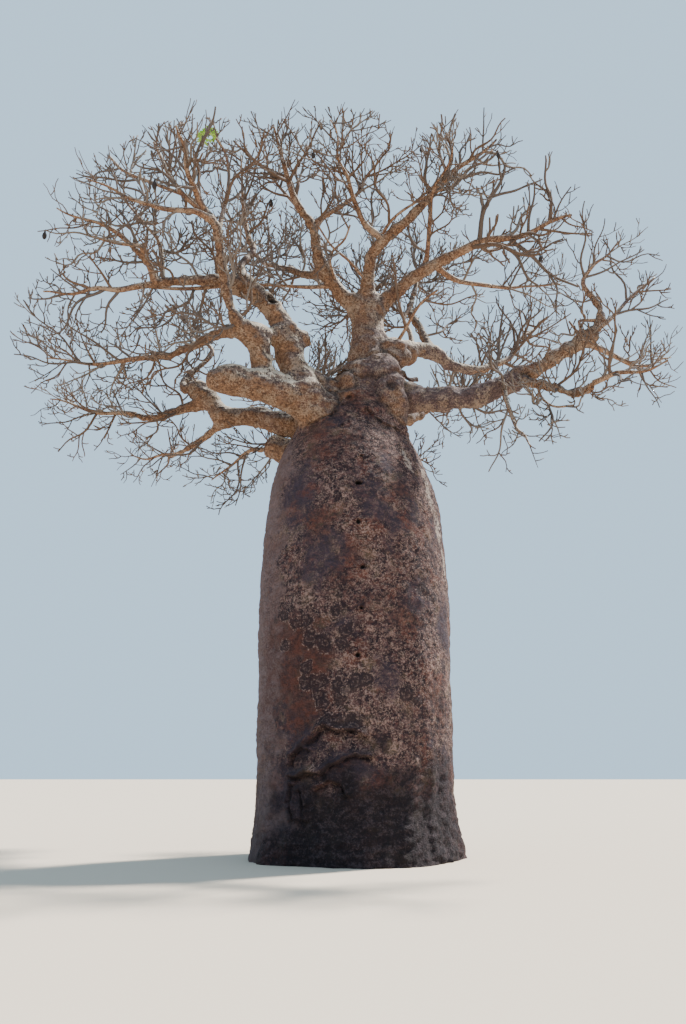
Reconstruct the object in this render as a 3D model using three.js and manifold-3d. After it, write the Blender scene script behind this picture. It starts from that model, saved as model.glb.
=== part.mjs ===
// A bare baobab, rooted in level ground: a barrel trunk, its boughs, and masses of leafless twigs on them.
// Lengths are millimetres and +Z is up. The origin is the middle of the flat cut under the trunk.
// A bearing is in degrees round from +X towards +Y, and a rise is in degrees above level.

import * as THREE from "three";
import { mergeVertices } from "three/addons/utils/BufferGeometryUtils.js";
import Module from "manifold-3d";

const wasm = await Module();
wasm.setup();

// Driving dimensions
const GAP = 0.3; // clear space where one piece meets the next
const TRUNK_SIDES = 20;
const TRUNK_RINGS = 17;
const FOOT_LOBES = 5; // buttress folds round the foot
const FOOT_LOBE_DEPTH = 0.035; // share of the radius
const FOOT_LOBE_HEIGHT = 900; // height over which the folds die away
const STOUT = 300; // a bough thicker than this has more sides
const STOUT_SIDES = 8;
const SLIM_SIDES = 6;
const RING_STEP = 500; // length of bough between two rings
const LEAST_STEPS = 3; // a short bough still has this many lengths
const BOUGH_TAPER = 0.8; // below 1, a bough thins faster near its root
const FORK_SINK = 0.3; // a limb on a tip starts this share of the tip's thickness inside it
const STRIDE = 115; // length that a twig grows between two looks at the room round it
const LEAST_TWIG = 0.4; // a twig stopped before this share of its length is skipped
const TWIG_SIDES = 3;
const TWIG_TAPER = 0.6; // share of its root's radius that a twig loses before its last length
const CLEAR_OF_LIMBS = 30; // bare space kept round trunk and boughs
const BORDER = 0.07; // share of a mass's space kept empty along its neighbours
const SPACE_REACH = 0.56; // half the length of a mass's space, over its reach
const BARK_SINK = 0.9; // a stem on the trunk starts at this share of the trunk's radius
const GOLDEN_ANGLE = 137.5; // degrees round the parent from one twig to the next
const SPLAY_SPREAD = 0.2; // share by which a twig's splay varies either way
const SEED_STEP = 977; // from one mass's seed to the next
const TWIG_SEED_STEP = 31;
const POD_RADIUS = 75; // half the width of a dried fruit
const POD_STRETCH = 1.5; // a fruit's length over its width
const METRE = 1000;
const NEARLY = 1e-6;

const BARK = { trunk: 0x6f5044, bough: 0x7d5a45, twig: 0x82705f };

// The trunk's girths, from the ground to the fork: height, radius, and how far its middle leans in X and Y.
const GIRTHS = [
  [0, 2170, 0, 0],
  [1100, 2030, 0, 0],
  [3100, 2040, 0, 0],
  [5300, 2040, 0, 0],
  [7100, 1940, -20, 0],
  [8300, 1640, -80, 0],
  [9250, 1210, -70, 0],
  [10100, 800, 150, 0],
  [10900, 540, 400, 20],
  [11700, 370, 360, 50],
  [12500, 290, 300, 50],
];

// A bough leaves its parent at a height on the trunk, or at a share of another bough's length.
// It tapers from its first thickness to its last, and runs through its reaches: length, bearing, rise.
const BOUGHS = [
  { name: "bough_left_great", on: "trunk", at: 9500, thick: [760, 340],
    reaches: [[900, -136, 28], [950, -152, 24], [650, -132, 66],
      [550, -144, 72], [850, -161, 44], [400, -148, 12]] },
  { name: "bough_right_low", on: "trunk", at: 10150, thick: [600, 310],
    reaches: [[2350, -14, -9], [700, -16, 14], [1300, -14, 20], [1180, -12, 29]] },
  { name: "bough_left_stub", on: "trunk", at: 9650, thick: [760, 620],
    reaches: [[1700, -138, -4], [750, -150, 8], [1350, -157, 3]] },
  { name: "bough_left_low", on: "trunk", at: 9300, thick: [600, 380],
    reaches: [[1520, 164, 10], [900, 158, 22], [850, 166, 6], [450, 161, 45], [750, 165, 48]] },
  { name: "bough_top_left", on: "trunk", at: 12250, thick: [420, 190],
    reaches: [[860, -167, 40], [900, -148, 50], [800, -112, 57], [450, -142, 42]] },
  { name: "bough_top_right", on: "trunk", at: 12300, thick: [350, 200],
    reaches: [[1200, -80, 69], [500, -45, 50], [900, -30, 29], [450, -25, 39]] },
  { name: "bough_right_high", on: "trunk", at: 12150, thick: [380, 250],
    reaches: [[1060, -11, 44], [870, -15, 33], [600, -12, 24]] },
  { name: "bough_right_middle", on: "trunk", at: 11400, thick: [480, 190],
    reaches: [[1400, 38, 17], [850, 36, 6], [600, 34, -18], [900, 28, 6], [300, 22, 34]] },
  { name: "bough_back_high", on: "trunk", at: 11700, thick: [330, 180],
    reaches: [[1200, 85, 48], [1200, 110, 42], [500, 80, 34]] },
  { name: "bough_back", on: "trunk", at: 10150, thick: [480, 200],
    reaches: [[2400, 108, 18], [1500, 96, 32], [700, 116, 28]] },
  { name: "bough_back_right", on: "trunk", at: 9850, thick: [480, 200],
    reaches: [[2400, 56, 12], [1500, 66, 30], [800, 50, 26]] },
  { name: "bough_back_left", on: "trunk", at: 9250, thick: [260, 130],
    reaches: [[1500, 140, 6], [1200, 132, 4], [900, 124, 18]] },
  { name: "bough_left_long", on: "bough_left_great", at: 1, thick: [290, 150],
    reaches: [[650, -152, -5], [850, -158, -14], [750, -164, -18]] },
  { name: "bough_left_riser", on: "bough_left_long", at: 0.88, thick: [160, 120],
    reaches: [[400, -118, 54], [450, -158, 45]] },
  { name: "bough_left_upright", on: "bough_left_great", at: 0.62, thick: [270, 170],
    reaches: [[1080, -137, -18], [650, -128, 37], [1150, -116, 66], [550, -112, 67], [450, -157, 52]] },
  { name: "bough_left_fork", on: "bough_left_upright", at: 0.93, thick: [150, 120],
    reaches: [[400, -149, 10], [400, -166, -5]] },
  { name: "bough_left_inner", on: "bough_left_great", at: 0.97, thick: [210, 130],
    reaches: [[800, 109, 65], [600, 42, 58], [400, 140, 68]] },
  { name: "bough_left_middle", on: "bough_left_upright", at: 0.3, thick: [240, 140],
    reaches: [[550, 146, 18], [1600, 143, -1], [900, 152, 6]] },
  { name: "bough_left_low_tip", on: "bough_left_low", at: 0.92, thick: [250, 140],
    reaches: [[300, 154, -35], [1300, 166, -10], [400, 173, 18]] },
  { name: "bough_left_low_riser", on: "bough_left_low", at: 0.97, thick: [240, 120],
    reaches: [[600, 153, 20], [400, 80, 62], [750, 26, 51]] },
  { name: "bough_left_low_fall", on: "bough_left_low", at: 0.74, thick: [230, 120],
    reaches: [[950, 130, -16], [1000, 135, -7]] },
  { name: "bough_top_middle", on: "bough_top_left", at: 0.82, thick: [170, 120],
    reaches: [[400, 0, 62], [700, 8, 40]] },
  { name: "bough_top_back", on: "bough_top_left", at: 0.5, thick: [210, 130],
    reaches: [[650, 132, 16], [850, 136, 33], [500, 139, 32]] },
  { name: "bough_top_front", on: "bough_top_right", at: 0.61, thick: [170, 120],
    reaches: [[600, -157, 34], [450, -134, 50]] },
  { name: "bough_right_high_fork", on: "bough_right_high", at: 0.84, thick: [160, 110],
    reaches: [[800, 40, -8], [1150, 32, 10]] },
  { name: "bough_right_high_riser", on: "bough_right_high", at: 0.68, thick: [140, 105],
    reaches: [[400, -38, 57], [850, -88, 36]] },
  { name: "bough_right_middle_riser", on: "bough_right_middle", at: 0.52, thick: [240, 140],
    reaches: [[1200, 120, 62], [700, 124, 59], [600, 60, 66]] },
  { name: "bough_right_curl", on: "bough_right_low", at: 1, thick: [250, 120],
    reaches: [[500, -6, 52], [400, 0, 76], [500, 180, 58]] },
  { name: "bough_right_low_fork", on: "bough_right_low", at: 0.66, thick: [200, 130],
    reaches: [[500, -47, -27], [1300, -45, -29], [350, -44, 20]] },
  { name: "bough_right_low_fall", on: "bough_right_low", at: 0.62, thick: [130, 80],
    reaches: [[480, -106, -60], [800, -75, -66]] },
  { name: "bough_right_low_tip", on: "bough_right_low", at: 0.97, thick: [160, 110],
    reaches: [[550, 34, 0], [1150, 34, -5]] },
];

// A mass grows on from a bough's tip, whose name it takes, or from the trunk's side at a height.
// Its space is an egg with the given reach, width and depth, set along its own bearing and rise.
// Some masses still carry a few dried fruits.
const MASSES = [
  { on: "bough_top_left", size: [2350, 2900, 2500], bearing: -118, rise: 54, pods: 2 },
  { on: "bough_top_middle", size: [2200, 2500, 2300], bearing: -12, rise: 56 },
  { on: "bough_top_back", size: [3100, 3200, 2600], bearing: 128, rise: 40, pods: 1 },
  { on: "bough_top_right", size: [2750, 2900, 2500], bearing: -20, rise: 34, pods: 2 },
  { on: "bough_top_front", size: [3000, 2700, 2000], bearing: -100, rise: 0, pods: 1 },
  { on: "bough_right_high", size: [3700, 2900, 2200], bearing: -10, rise: 10, pods: 1 },
  { on: "bough_right_high_fork", size: [2900, 2800, 1800], bearing: 24, rise: 14 },
  { on: "bough_right_high_riser", size: [2800, 2600, 2000], bearing: -80, rise: 6 },
  { on: "bough_right_middle", size: [3500, 3000, 2500], bearing: 36, rise: 46 },
  { on: "bough_right_middle_riser", size: [3000, 2800, 2600], bearing: 74, rise: 46, pods: 1 },
  { on: "bough_right_curl", size: [2100, 2500, 2200], bearing: 2, rise: 42 },
  { on: "bough_right_low_fork", size: [2000, 2400, 1700], bearing: -48, rise: -10 },
  { on: "bough_right_low_fall", size: [1300, 1700, 1400], bearing: -60, rise: -55 },
  { on: "bough_right_low_tip", size: [1500, 2300, 1900], bearing: 16, rise: 22 },
  { on: "bough_left_long", size: [2450, 2300, 1600], bearing: -167, rise: -16 },
  { on: "bough_left_riser", size: [2150, 2700, 2000], bearing: -160, rise: 14, pods: 1 },
  { on: "bough_left_upright", size: [2150, 3200, 2400], bearing: -98, rise: 26, pods: 2 },
  { on: "bough_left_fork", size: [2250, 2500, 2000], bearing: -158, rise: 10 },
  { on: "bough_left_inner", size: [2600, 2500, 2500], bearing: -110, rise: 74, pods: 1 },
  { on: "bough_left_middle", size: [3350, 2900, 1900], bearing: 166, rise: 3 },
  { on: "bough_left_low_tip", size: [2900, 2600, 1700], bearing: 172, rise: 9 },
  { on: "bough_left_low_riser", size: [3000, 2800, 2200], bearing: 147, rise: 34 },
  { on: "bough_left_low_fall", size: [2400, 2300, 1700], bearing: 146, rise: 8 },
  { on: "bough_back_high", size: [3200, 3200, 2600], bearing: 86, rise: 48, pods: 1 },
  { on: "bough_back", size: [3500, 3600, 2700], bearing: 106, rise: 30, pods: 1 },
  { on: "bough_back_right", size: [3500, 3600, 2600], bearing: 46, rise: 27 },
  { on: "bough_back_left", size: [2600, 2400, 1800], bearing: 134, rise: -18 },
  { name: "twigs_shoulder", on: "trunk", at: 8800, thick: 70,
    size: [1500, 1600, 1300], bearing: 34, rise: 14 },
];

// Growth of a mass: a stem, then twigs round it, then spikes on them.
// They leave from the first share of the parent on, thinner and shorter towards its tip.
const STEM = { share: 0.84, taper: 0.75, turn: 0.4, lift: 0.1, crook: 0.25, segments: 5 };
const TWIG = {
  perMetre: 3.6,
  first: 0.1,
  span: 0.86,
  loose: 0.6,
  sway: 30,
  splay: 54,
  share: 0.3125,
  longest: 1.15,
  shorten: 0.55,
  lift: 0.3,
  crook: 0.35,
  thin: 0.62,
  thinning: 0.7,
  least: 15,
  segments: 2,
};
const SPIKE = {
  count: 2,
  first: 0.3,
  span: 0.62,
  loose: 0.5,
  sway: 360,
  splay: 50,
  share: 0.5,
  longest: 1.2,
  shorten: 0.6,
  lift: 0.6,
  crook: 0.25,
  thin: 0.62,
  thinning: 0.6,
  least: 12,
  segments: 1,
};

const UP = new THREE.Vector3(0, 0, 1);

// Seeded numbers from 0 to 1: the same seed always grows the same twig.
function dice(seed) {
  let state = seed >>> 0;
  return () => {
    state = (state + 0x6d2b79f5) >>> 0;
    let mixed = Math.imul(state ^ (state >>> 15), 1 | state);
    mixed ^= mixed + Math.imul(mixed ^ (mixed >>> 7), 61 | mixed);
    return ((mixed ^ (mixed >>> 14)) >>> 0) / 4294967296;
  };
}

function headingOf(bearing, rise) {
  const b = THREE.MathUtils.degToRad(bearing);
  const r = THREE.MathUtils.degToRad(rise);
  return new THREE.Vector3(Math.cos(b) * Math.cos(r), Math.sin(b) * Math.cos(r), Math.sin(r));
}

// Any unit vector square to the heading, level where it can be.
function squareTo(heading) {
  const level = new THREE.Vector3().crossVectors(heading, UP);
  return level.lengthSq() > NEARLY ? level.normalize() : new THREE.Vector3(1, 0, 0);
}

// Flat rings of corners round a line of points, each square to the line, the first one square to the way out.
// A radius of 0 makes a pointed tip.
function ringsAlong(points, radii, sides, out = null) {
  const rings = [];
  let side = null;
  points.forEach((point, i) => {
    const before = points[Math.max(0, i - 1)];
    const after = points[Math.min(points.length - 1, i + 1)];
    const ahead = i === 0 && out ? out : new THREE.Vector3().subVectors(after, before).normalize();
    side = side ? side.clone().addScaledVector(ahead, -side.dot(ahead)).normalize() : squareTo(ahead);
    const across = new THREE.Vector3().crossVectors(ahead, side);
    const corners = radii[i] > 0 ? sides : 1;
    rings.push(
      Array.from({ length: corners }, (_, k) => {
        const turn = (2 * Math.PI * k) / sides;
        return point
          .clone()
          .addScaledVector(side, radii[i] * Math.cos(turn))
          .addScaledVector(across, radii[i] * Math.sin(turn));
      }),
    );
  });
  return rings;
}

// A closed skin over rings of corners, as a solid. Rings turn anticlockwise about the way they are stacked.
function solidOver(rings) {
  const corners = rings.flat();
  const faces = [];
  let first = 0;
  for (let i = 0; i + 1 < rings.length; i++) {
    const n = rings[i].length;
    const next = first + n;
    const tip = rings[i + 1].length === 1;
    for (let k = 0; k < n; k++) {
      const j = (k + 1) % n;
      if (tip) {
        faces.push(first + k, first + j, next);
      } else {
        faces.push(first + k, first + j, next + j, first + k, next + j, next + k);
      }
    }
    first = next;
  }
  const cap = (start, n, flip) => {
    if (n < 3) return;
    if (n === 3) {
      faces.push(...(flip ? [start + 2, start + 1, start] : [start, start + 1, start + 2]));
      return;
    }
    const middle = corners.length;
    const ring = corners.slice(start, start + n);
    corners.push(ring.reduce((sum, p) => sum.add(p), new THREE.Vector3()).divideScalar(n));
    for (let k = 0; k < n; k++) {
      const j = (k + 1) % n;
      faces.push(middle, ...(flip ? [start + j, start + k] : [start + k, start + j]));
    }
  };
  const last = rings[rings.length - 1].length;
  cap(0, rings[0].length, true);
  cap(first, last, false);
  return new wasm.Manifold(
    new wasm.Mesh({
      numProp: 3,
      vertProperties: new Float32Array(corners.flatMap((p) => [p.x, p.y, p.z])),
      triVerts: new Uint32Array(faces),
    }),
  );
}

function largest(solid) {
  return solid.decompose().reduce((best, body) => (body.volume() > best.volume() ? body : best));
}

function smooth(knots) {
  return new THREE.CatmullRomCurve3(knots, false, "catmullrom", 0.5);
}

// The trunk's radius and middle, on smooth curves through its girths.
const GIRTH_CURVE = smooth(GIRTHS.map(([z, radius]) => new THREE.Vector3(radius, 0, z)));
const MIDDLE_CURVE = smooth(GIRTHS.map(([z, , x, y]) => new THREE.Vector3(x, y, z)));

function trunkAtHeight(z) {
  let low = 0;
  let high = 1;
  while (high - low > NEARLY) {
    const half = (low + high) / 2;
    if (MIDDLE_CURVE.getPoint(half).z < z) {
      low = half;
    } else {
      high = half;
    }
  }
  return { middle: MIDDLE_CURVE.getPoint(low), radius: GIRTH_CURVE.getPoint(low).x };
}

// The trunk, made thicker all round by the margin: level rings, with folds at the foot.
function trunkSolid(margin) {
  const rings = [];
  for (let i = 0; i <= TRUNK_RINGS; i++) {
    const { x: radius } = GIRTH_CURVE.getPoint(i / TRUNK_RINGS);
    const middle = MIDDLE_CURVE.getPoint(i / TRUNK_RINGS);
    const z = middle.z + (i === TRUNK_RINGS ? margin : 0);
    rings.push(
      Array.from({ length: TRUNK_SIDES }, (_, k) => {
        const turn = (2 * Math.PI * k) / TRUNK_SIDES;
        const fold = FOOT_LOBE_DEPTH * Math.exp(-z / FOOT_LOBE_HEIGHT) * Math.cos(FOOT_LOBES * turn);
        const r = radius * (1 + fold) + margin;
        return new THREE.Vector3(middle.x + r * Math.cos(turn), middle.y + r * Math.sin(turn), z);
      }),
    );
  }
  return solidOver(rings);
}

// A bough's line of points and radii, from inside its parent to its tip.
function boughLine(bough, lines) {
  const parent = lines.get(bough.on);
  const forkAt = bough.at === 1 ? parent.sunk : bough.at;
  const start = parent ? parent.curve.getPointAt(forkAt) : trunkAtHeight(bough.at).middle;
  const knots = [start];
  for (const [length, bearing, rise] of bough.reaches) {
    knots.push(knots[knots.length - 1].clone().addScaledVector(headingOf(bearing, rise), length));
  }
  const curve = smooth(knots);
  const length = curve.getLength();
  const steps = Math.max(LEAST_STEPS, Math.round(length / RING_STEP));
  const points = curve.getSpacedPoints(steps);
  const [thickest, thinnest] = bough.thick;
  const thickness = (share) => THREE.MathUtils.lerp(thickest, thinnest, share ** BOUGH_TAPER);
  const radii = points.map((_, i) => thickness(i / steps) / 2);
  return { curve, points, radii, sunk: 1 - (FORK_SINK * thinnest) / length };
}

// A bough as a solid, made thicker and longer at both ends by the margin.
function boughSolid(line, sides, margin) {
  const points = line.points.map((p) => p.clone());
  const last = points.length - 1;
  const ahead = new THREE.Vector3().subVectors(points[last], points[last - 1]).normalize();
  const back = new THREE.Vector3().subVectors(points[0], points[1]).normalize();
  points[last].addScaledVector(ahead, margin);
  points[0].addScaledVector(back, margin);
  return solidOver(ringsAlong(points, line.radii.map((r) => r + margin), sides));
}

// Distance from a point to the nearer side of a tapering limb, below 0 inside it.
function clearOf(limb, point) {
  let nearest = Infinity;
  const along = new THREE.Vector3();
  const away = new THREE.Vector3();
  for (let i = 0; i + 1 < limb.points.length; i++) {
    along.subVectors(limb.points[i + 1], limb.points[i]);
    away.subVectors(point, limb.points[i]);
    const t = THREE.MathUtils.clamp(away.dot(along) / along.lengthSq(), 0, 1);
    const radius = THREE.MathUtils.lerp(limb.radii[i], limb.radii[i + 1], t);
    nearest = Math.min(nearest, away.addScaledVector(along, -t).length() - radius);
  }
  return nearest;
}

// How far out a point lies in a mass's space: 0 in the middle, 1 at the edge.
function depthIn(mass, point) {
  const from = new THREE.Vector3().subVectors(point, mass.centre);
  return Math.hypot(
    from.dot(mass.heading) / mass.half[0],
    from.dot(mass.side) / mass.half[1],
    from.dot(mass.top) / mass.half[2],
  );
}

// Grows a line of points from a start, curving up and crooked to one side, while there is room.
// A line with a way to come from sets out along it, and turns to its own heading.
function growLine(start, heading, length, habit, roll, hasRoom, from = null) {
  const steps = Math.max(2, Math.round(length / STRIDE));
  const aside = squareTo(heading).applyAxisAngle(heading, roll() * 2 * Math.PI);
  const bends = 1 + roll();
  const points = [start];
  for (let i = 1; i <= steps; i++) {
    const share = i / steps;
    const way = heading
      .clone()
      .addScaledVector(aside, habit.crook * Math.sin(Math.PI * 2 * bends * share))
      .addScaledVector(UP, habit.lift * share);
    if (from) way.lerp(from, 1 - THREE.MathUtils.smoothstep(share, 0, habit.turn));
    const next = points[i - 1].clone().addScaledVector(way.normalize(), length / steps);
    if (!hasRoom(next)) break;
    points.push(next);
  }
  return points.length - 1 >= LEAST_TWIG * steps ? points : null;
}

// The point at a share of a line's length, and the way the line runs there.
function placeOn(points, share) {
  const exact = share * (points.length - 1);
  const i = Math.min(points.length - 2, Math.floor(exact));
  return {
    point: points[i].clone().lerp(points[i + 1], exact - i),
    ahead: new THREE.Vector3().subVectors(points[i + 1], points[i]).normalize(),
  };
}

// The way a side twig leaves: tilted off the parent by the splay, and turned round it.
function splayed(ahead, splay, turn) {
  const tilt = squareTo(ahead).applyAxisAngle(ahead, turn);
  return ahead.clone().applyAxisAngle(tilt, splay);
}

// A three-sided twig on some of its line's points, from its root's radius to a pointed tip.
function twigSolid(points, radius, segments, out = null) {
  const last = points.length - 1;
  const picked = Array.from({ length: segments + 1 }, (_, i) => points[Math.round((i * last) / segments)]);
  const radii = picked.map((_, i) => (i === segments ? 0 : radius * (1 - (TWIG_TAPER * i) / segments)));
  return solidOver(ringsAlong(picked, radii, TWIG_SIDES, out));
}

function podSolid(tip) {
  const geometry = new THREE.OctahedronGeometry(POD_RADIUS, 0).scale(1, 1, POD_STRETCH);
  geometry.translate(tip.x, tip.y, tip.z - POD_RADIUS);
  geometry.deleteAttribute("normal");
  geometry.deleteAttribute("uv");
  const merged = mergeVertices(geometry);
  return new wasm.Manifold(
    new wasm.Mesh({
      numProp: 3,
      vertProperties: merged.attributes.position.array,
      triVerts: new Uint32Array(merged.index.array),
    }),
  );
}

// Where a mass's stem starts and what space it has.
function plantMass(mass, seed, lines) {
  const heading = headingOf(mass.bearing, mass.rise);
  const line = lines.get(mass.on);
  let root;
  let from;
  let radius;
  if (line) {
    const last = line.points.length - 1;
    from = new THREE.Vector3().subVectors(line.points[last], line.points[last - 1]).normalize();
    root = line.points[last].clone().addScaledVector(from, GAP);
    radius = line.radii[last];
  } else {
    const { middle, radius: out } = trunkAtHeight(mass.at);
    from = headingOf(mass.bearing, 0);
    root = middle.clone().addScaledVector(from, out * BARK_SINK);
    radius = mass.thick / 2;
  }
  const [reach, width, depth] = mass.size;
  const side = squareTo(heading);
  return {
    name: mass.name ?? mass.on.replace("bough_", "twigs_"),
    on: mass.on,
    pods: mass.pods ?? 0,
    seed,
    reach,
    spread: reach + width,
    heading,
    root,
    from,
    radius,
    side,
    top: new THREE.Vector3().crossVectors(side, heading),
    centre: root.clone().addScaledVector(heading, reach / 2),
    half: [reach * SPACE_REACH, width / 2, depth / 2],
  };
}

const lines = new Map();
for (const bough of BOUGHS) lines.set(bough.name, boughLine(bough, lines));

const masses = MASSES.map((mass, i) => plantMass(mass, i + 1, lines));

// Every limb that twigs keep clear of: the trunk and all the boughs.
const trunkLimb = { points: [], radii: [] };
for (let i = 0; i <= TRUNK_RINGS; i++) {
  trunkLimb.points.push(MIDDLE_CURVE.getPoint(i / TRUNK_RINGS));
  trunkLimb.radii.push(GIRTH_CURVE.getPoint(i / TRUNK_RINGS).x);
}
const limbs = [trunkLimb, ...lines.values()];

// Stems come first, so that every mass can keep clear of the others' stems.
for (const mass of masses) {
  const roll = dice(mass.seed * SEED_STEP);
  const length = mass.reach * STEM.share;
  const points = growLine(mass.root, mass.heading, length, STEM, roll, () => true, mass.from);
  const last = points.length - 1;
  mass.stem = { points, radii: points.map((_, i) => mass.radius * (1 - (STEM.taper * i) / last)) };
}

// A test of whether a twig of a mass may reach a point.
function roomIn(mass) {
  const others = masses.filter((other) => other !== mass);
  const near = [...limbs, ...others.map((other) => other.stem)];
  return (point) => {
    const own = depthIn(mass, point);
    if (own > 1) return false;
    if (others.some((other) => depthIn(other, point) < own + BORDER)) return false;
    return near.every((limb) => clearOf(limb, point) > CLEAR_OF_LIMBS);
  };
}

// The twig that leaves its parent as one of a count by a habit, or null where it finds no room.
function offshoot(parent, habit, i, count, seed, hasRoom) {
  const roll = dice(seed);
  const share = habit.first + (habit.span * (i + roll() * habit.loose)) / count;
  const { point, ahead } = placeOn(parent.points, share);
  const turn = THREE.MathUtils.degToRad(i * GOLDEN_ANGLE + habit.sway * roll());
  const splay = THREE.MathUtils.degToRad(habit.splay * (1 - SPLAY_SPREAD + 2 * SPLAY_SPREAD * roll()));
  const length = parent.spread * habit.share * (habit.longest - habit.shorten * share);
  const points = growLine(point, splayed(ahead, splay, turn), length, habit, roll, hasRoom);
  if (!points) return null;
  const radius = Math.max(habit.least, parent.radius * (1 - habit.thinning * share) * habit.thin);
  return { points, radius, spread: length };
}

function massSolid(mass) {
  const hasRoom = roomIn(mass);
  const stem = { points: mass.stem.points, radius: mass.radius, spread: mass.spread };
  const pieces = [twigSolid(stem.points, stem.radius, STEM.segments, mass.from)];
  const tips = [];
  const count = Math.round((TWIG.perMetre * mass.reach) / METRE);
  for (let i = 0; i < count; i++) {
    const seed = mass.seed * SEED_STEP + (i + 1) * TWIG_SEED_STEP;
    const twig = offshoot(stem, TWIG, i, count, seed, hasRoom);
    if (!twig) continue;
    pieces.push(twigSolid(twig.points, twig.radius, TWIG.segments));
    tips.push(twig.points[twig.points.length - 1]);
    for (let k = 0; k < SPIKE.count; k++) {
      const spike = offshoot(twig, SPIKE, k, SPIKE.count, seed * TWIG_SEED_STEP + k + 1, hasRoom);
      if (spike) pieces.push(twigSolid(spike.points, spike.radius, SPIKE.segments));
    }
  }
  pieces.push(...tips.slice(0, mass.pods).map(podSolid));
  return largest(wasm.Manifold.union(pieces));
}

const tree = new THREE.Group();

function add(name, solid, colour) {
  const { numProp, numVert, vertProperties, triVerts } = solid.getMesh();
  const position = new Float32Array(numVert * 3);
  for (let i = 0; i < numVert; i++) {
    position.set(vertProperties.subarray(i * numProp, i * numProp + 3), i * 3);
  }
  const geometry = new THREE.BufferGeometry()
    .setAttribute("position", new THREE.BufferAttribute(position, 3))
    .setIndex(new THREE.BufferAttribute(triVerts, 1));
  geometry.computeVertexNormals();
  const material = new THREE.MeshStandardMaterial({ color: colour, roughness: 0.9, metalness: 0 });
  const mesh = new THREE.Mesh(geometry, material);
  mesh.name = name;
  tree.add(mesh);
}

// Each bough is cut clear of the trunk and of every bough before it.
add("trunk", trunkSolid(0), BARK.trunk);
const fatTrunk = trunkSolid(GAP);
const taken = [fatTrunk];
for (const bough of BOUGHS) {
  const line = lines.get(bough.name);
  const sides = bough.thick[0] > STOUT ? STOUT_SIDES : SLIM_SIDES;
  let solid = boughSolid(line, sides, 0);
  for (const other of taken) solid = solid.subtract(other);
  add(bough.name, largest(solid), BARK.bough);
  taken.push(boughSolid(line, sides, GAP));
}

for (const mass of masses) {
  let solid = massSolid(mass);
  if (mass.on === "trunk") solid = largest(solid.subtract(fatTrunk));
  add(mass.name, solid, BARK.twig);
}

export default tree;
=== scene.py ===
# %% [markdown]
# # A bare baobab in the dry season
# The tree has a trunk like a barrel, four metres thick, that narrows at the top into a short neck.
# Thick limbs leave the neck almost level, and the crown is a wide, flat dome of stubby grey twigs.
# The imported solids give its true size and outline. This script grows the same limbs again from the
# same named sizes, clothes them in bark, and carries the twigs on to their finest spurs.

# %% The frame
import math
from collections import namedtuple
from contextlib import contextmanager
from dataclasses import dataclass, fields

import bpy
import numpy as np
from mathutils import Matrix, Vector, noise


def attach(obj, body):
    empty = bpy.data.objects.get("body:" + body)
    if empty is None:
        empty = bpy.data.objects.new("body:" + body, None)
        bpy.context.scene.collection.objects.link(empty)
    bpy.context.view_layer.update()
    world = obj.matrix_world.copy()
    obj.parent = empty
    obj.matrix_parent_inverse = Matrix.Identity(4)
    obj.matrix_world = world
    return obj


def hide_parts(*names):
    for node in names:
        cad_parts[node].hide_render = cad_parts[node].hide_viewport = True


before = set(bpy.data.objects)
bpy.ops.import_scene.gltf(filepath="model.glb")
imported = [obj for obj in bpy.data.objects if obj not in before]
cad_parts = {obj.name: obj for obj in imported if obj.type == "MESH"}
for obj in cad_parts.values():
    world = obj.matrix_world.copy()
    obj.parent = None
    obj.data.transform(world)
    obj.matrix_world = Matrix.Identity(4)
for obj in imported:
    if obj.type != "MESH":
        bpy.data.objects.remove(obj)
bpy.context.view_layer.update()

# %% [markdown]
# ## Named sizes of the limbs
# On the real tree no two limbs are alike, so each one gets a row of its own: where it leaves its
# parent, how thick it is at both ends, and the straight reaches that its middle line bends through.
# Drawing each limb by hand as a mesh would work too, but then nothing could grow on it by rule.
# Lengths are metres, a bearing is in degrees round from +X towards +Y, and a rise is above level.

# %% Trunk and limbs
# The trunk's girths from the ground up: height, radius, and how far its middle leans in X and Y.
GIRTHS = [
    (0, 2.17, 0, 0), (1.1, 2.03, 0, 0), (3.1, 2.04, 0, 0), (5.3, 2.04, 0, 0), (7.1, 1.94, -0.02, 0),
    (8.3, 1.64, -0.08, 0), (9.25, 1.21, -0.07, 0), (10.1, 0.8, 0.15, 0), (10.9, 0.54, 0.4, 0.02),
    (11.7, 0.37, 0.36, 0.05), (12.5, 0.29, 0.3, 0.05)]

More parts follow.
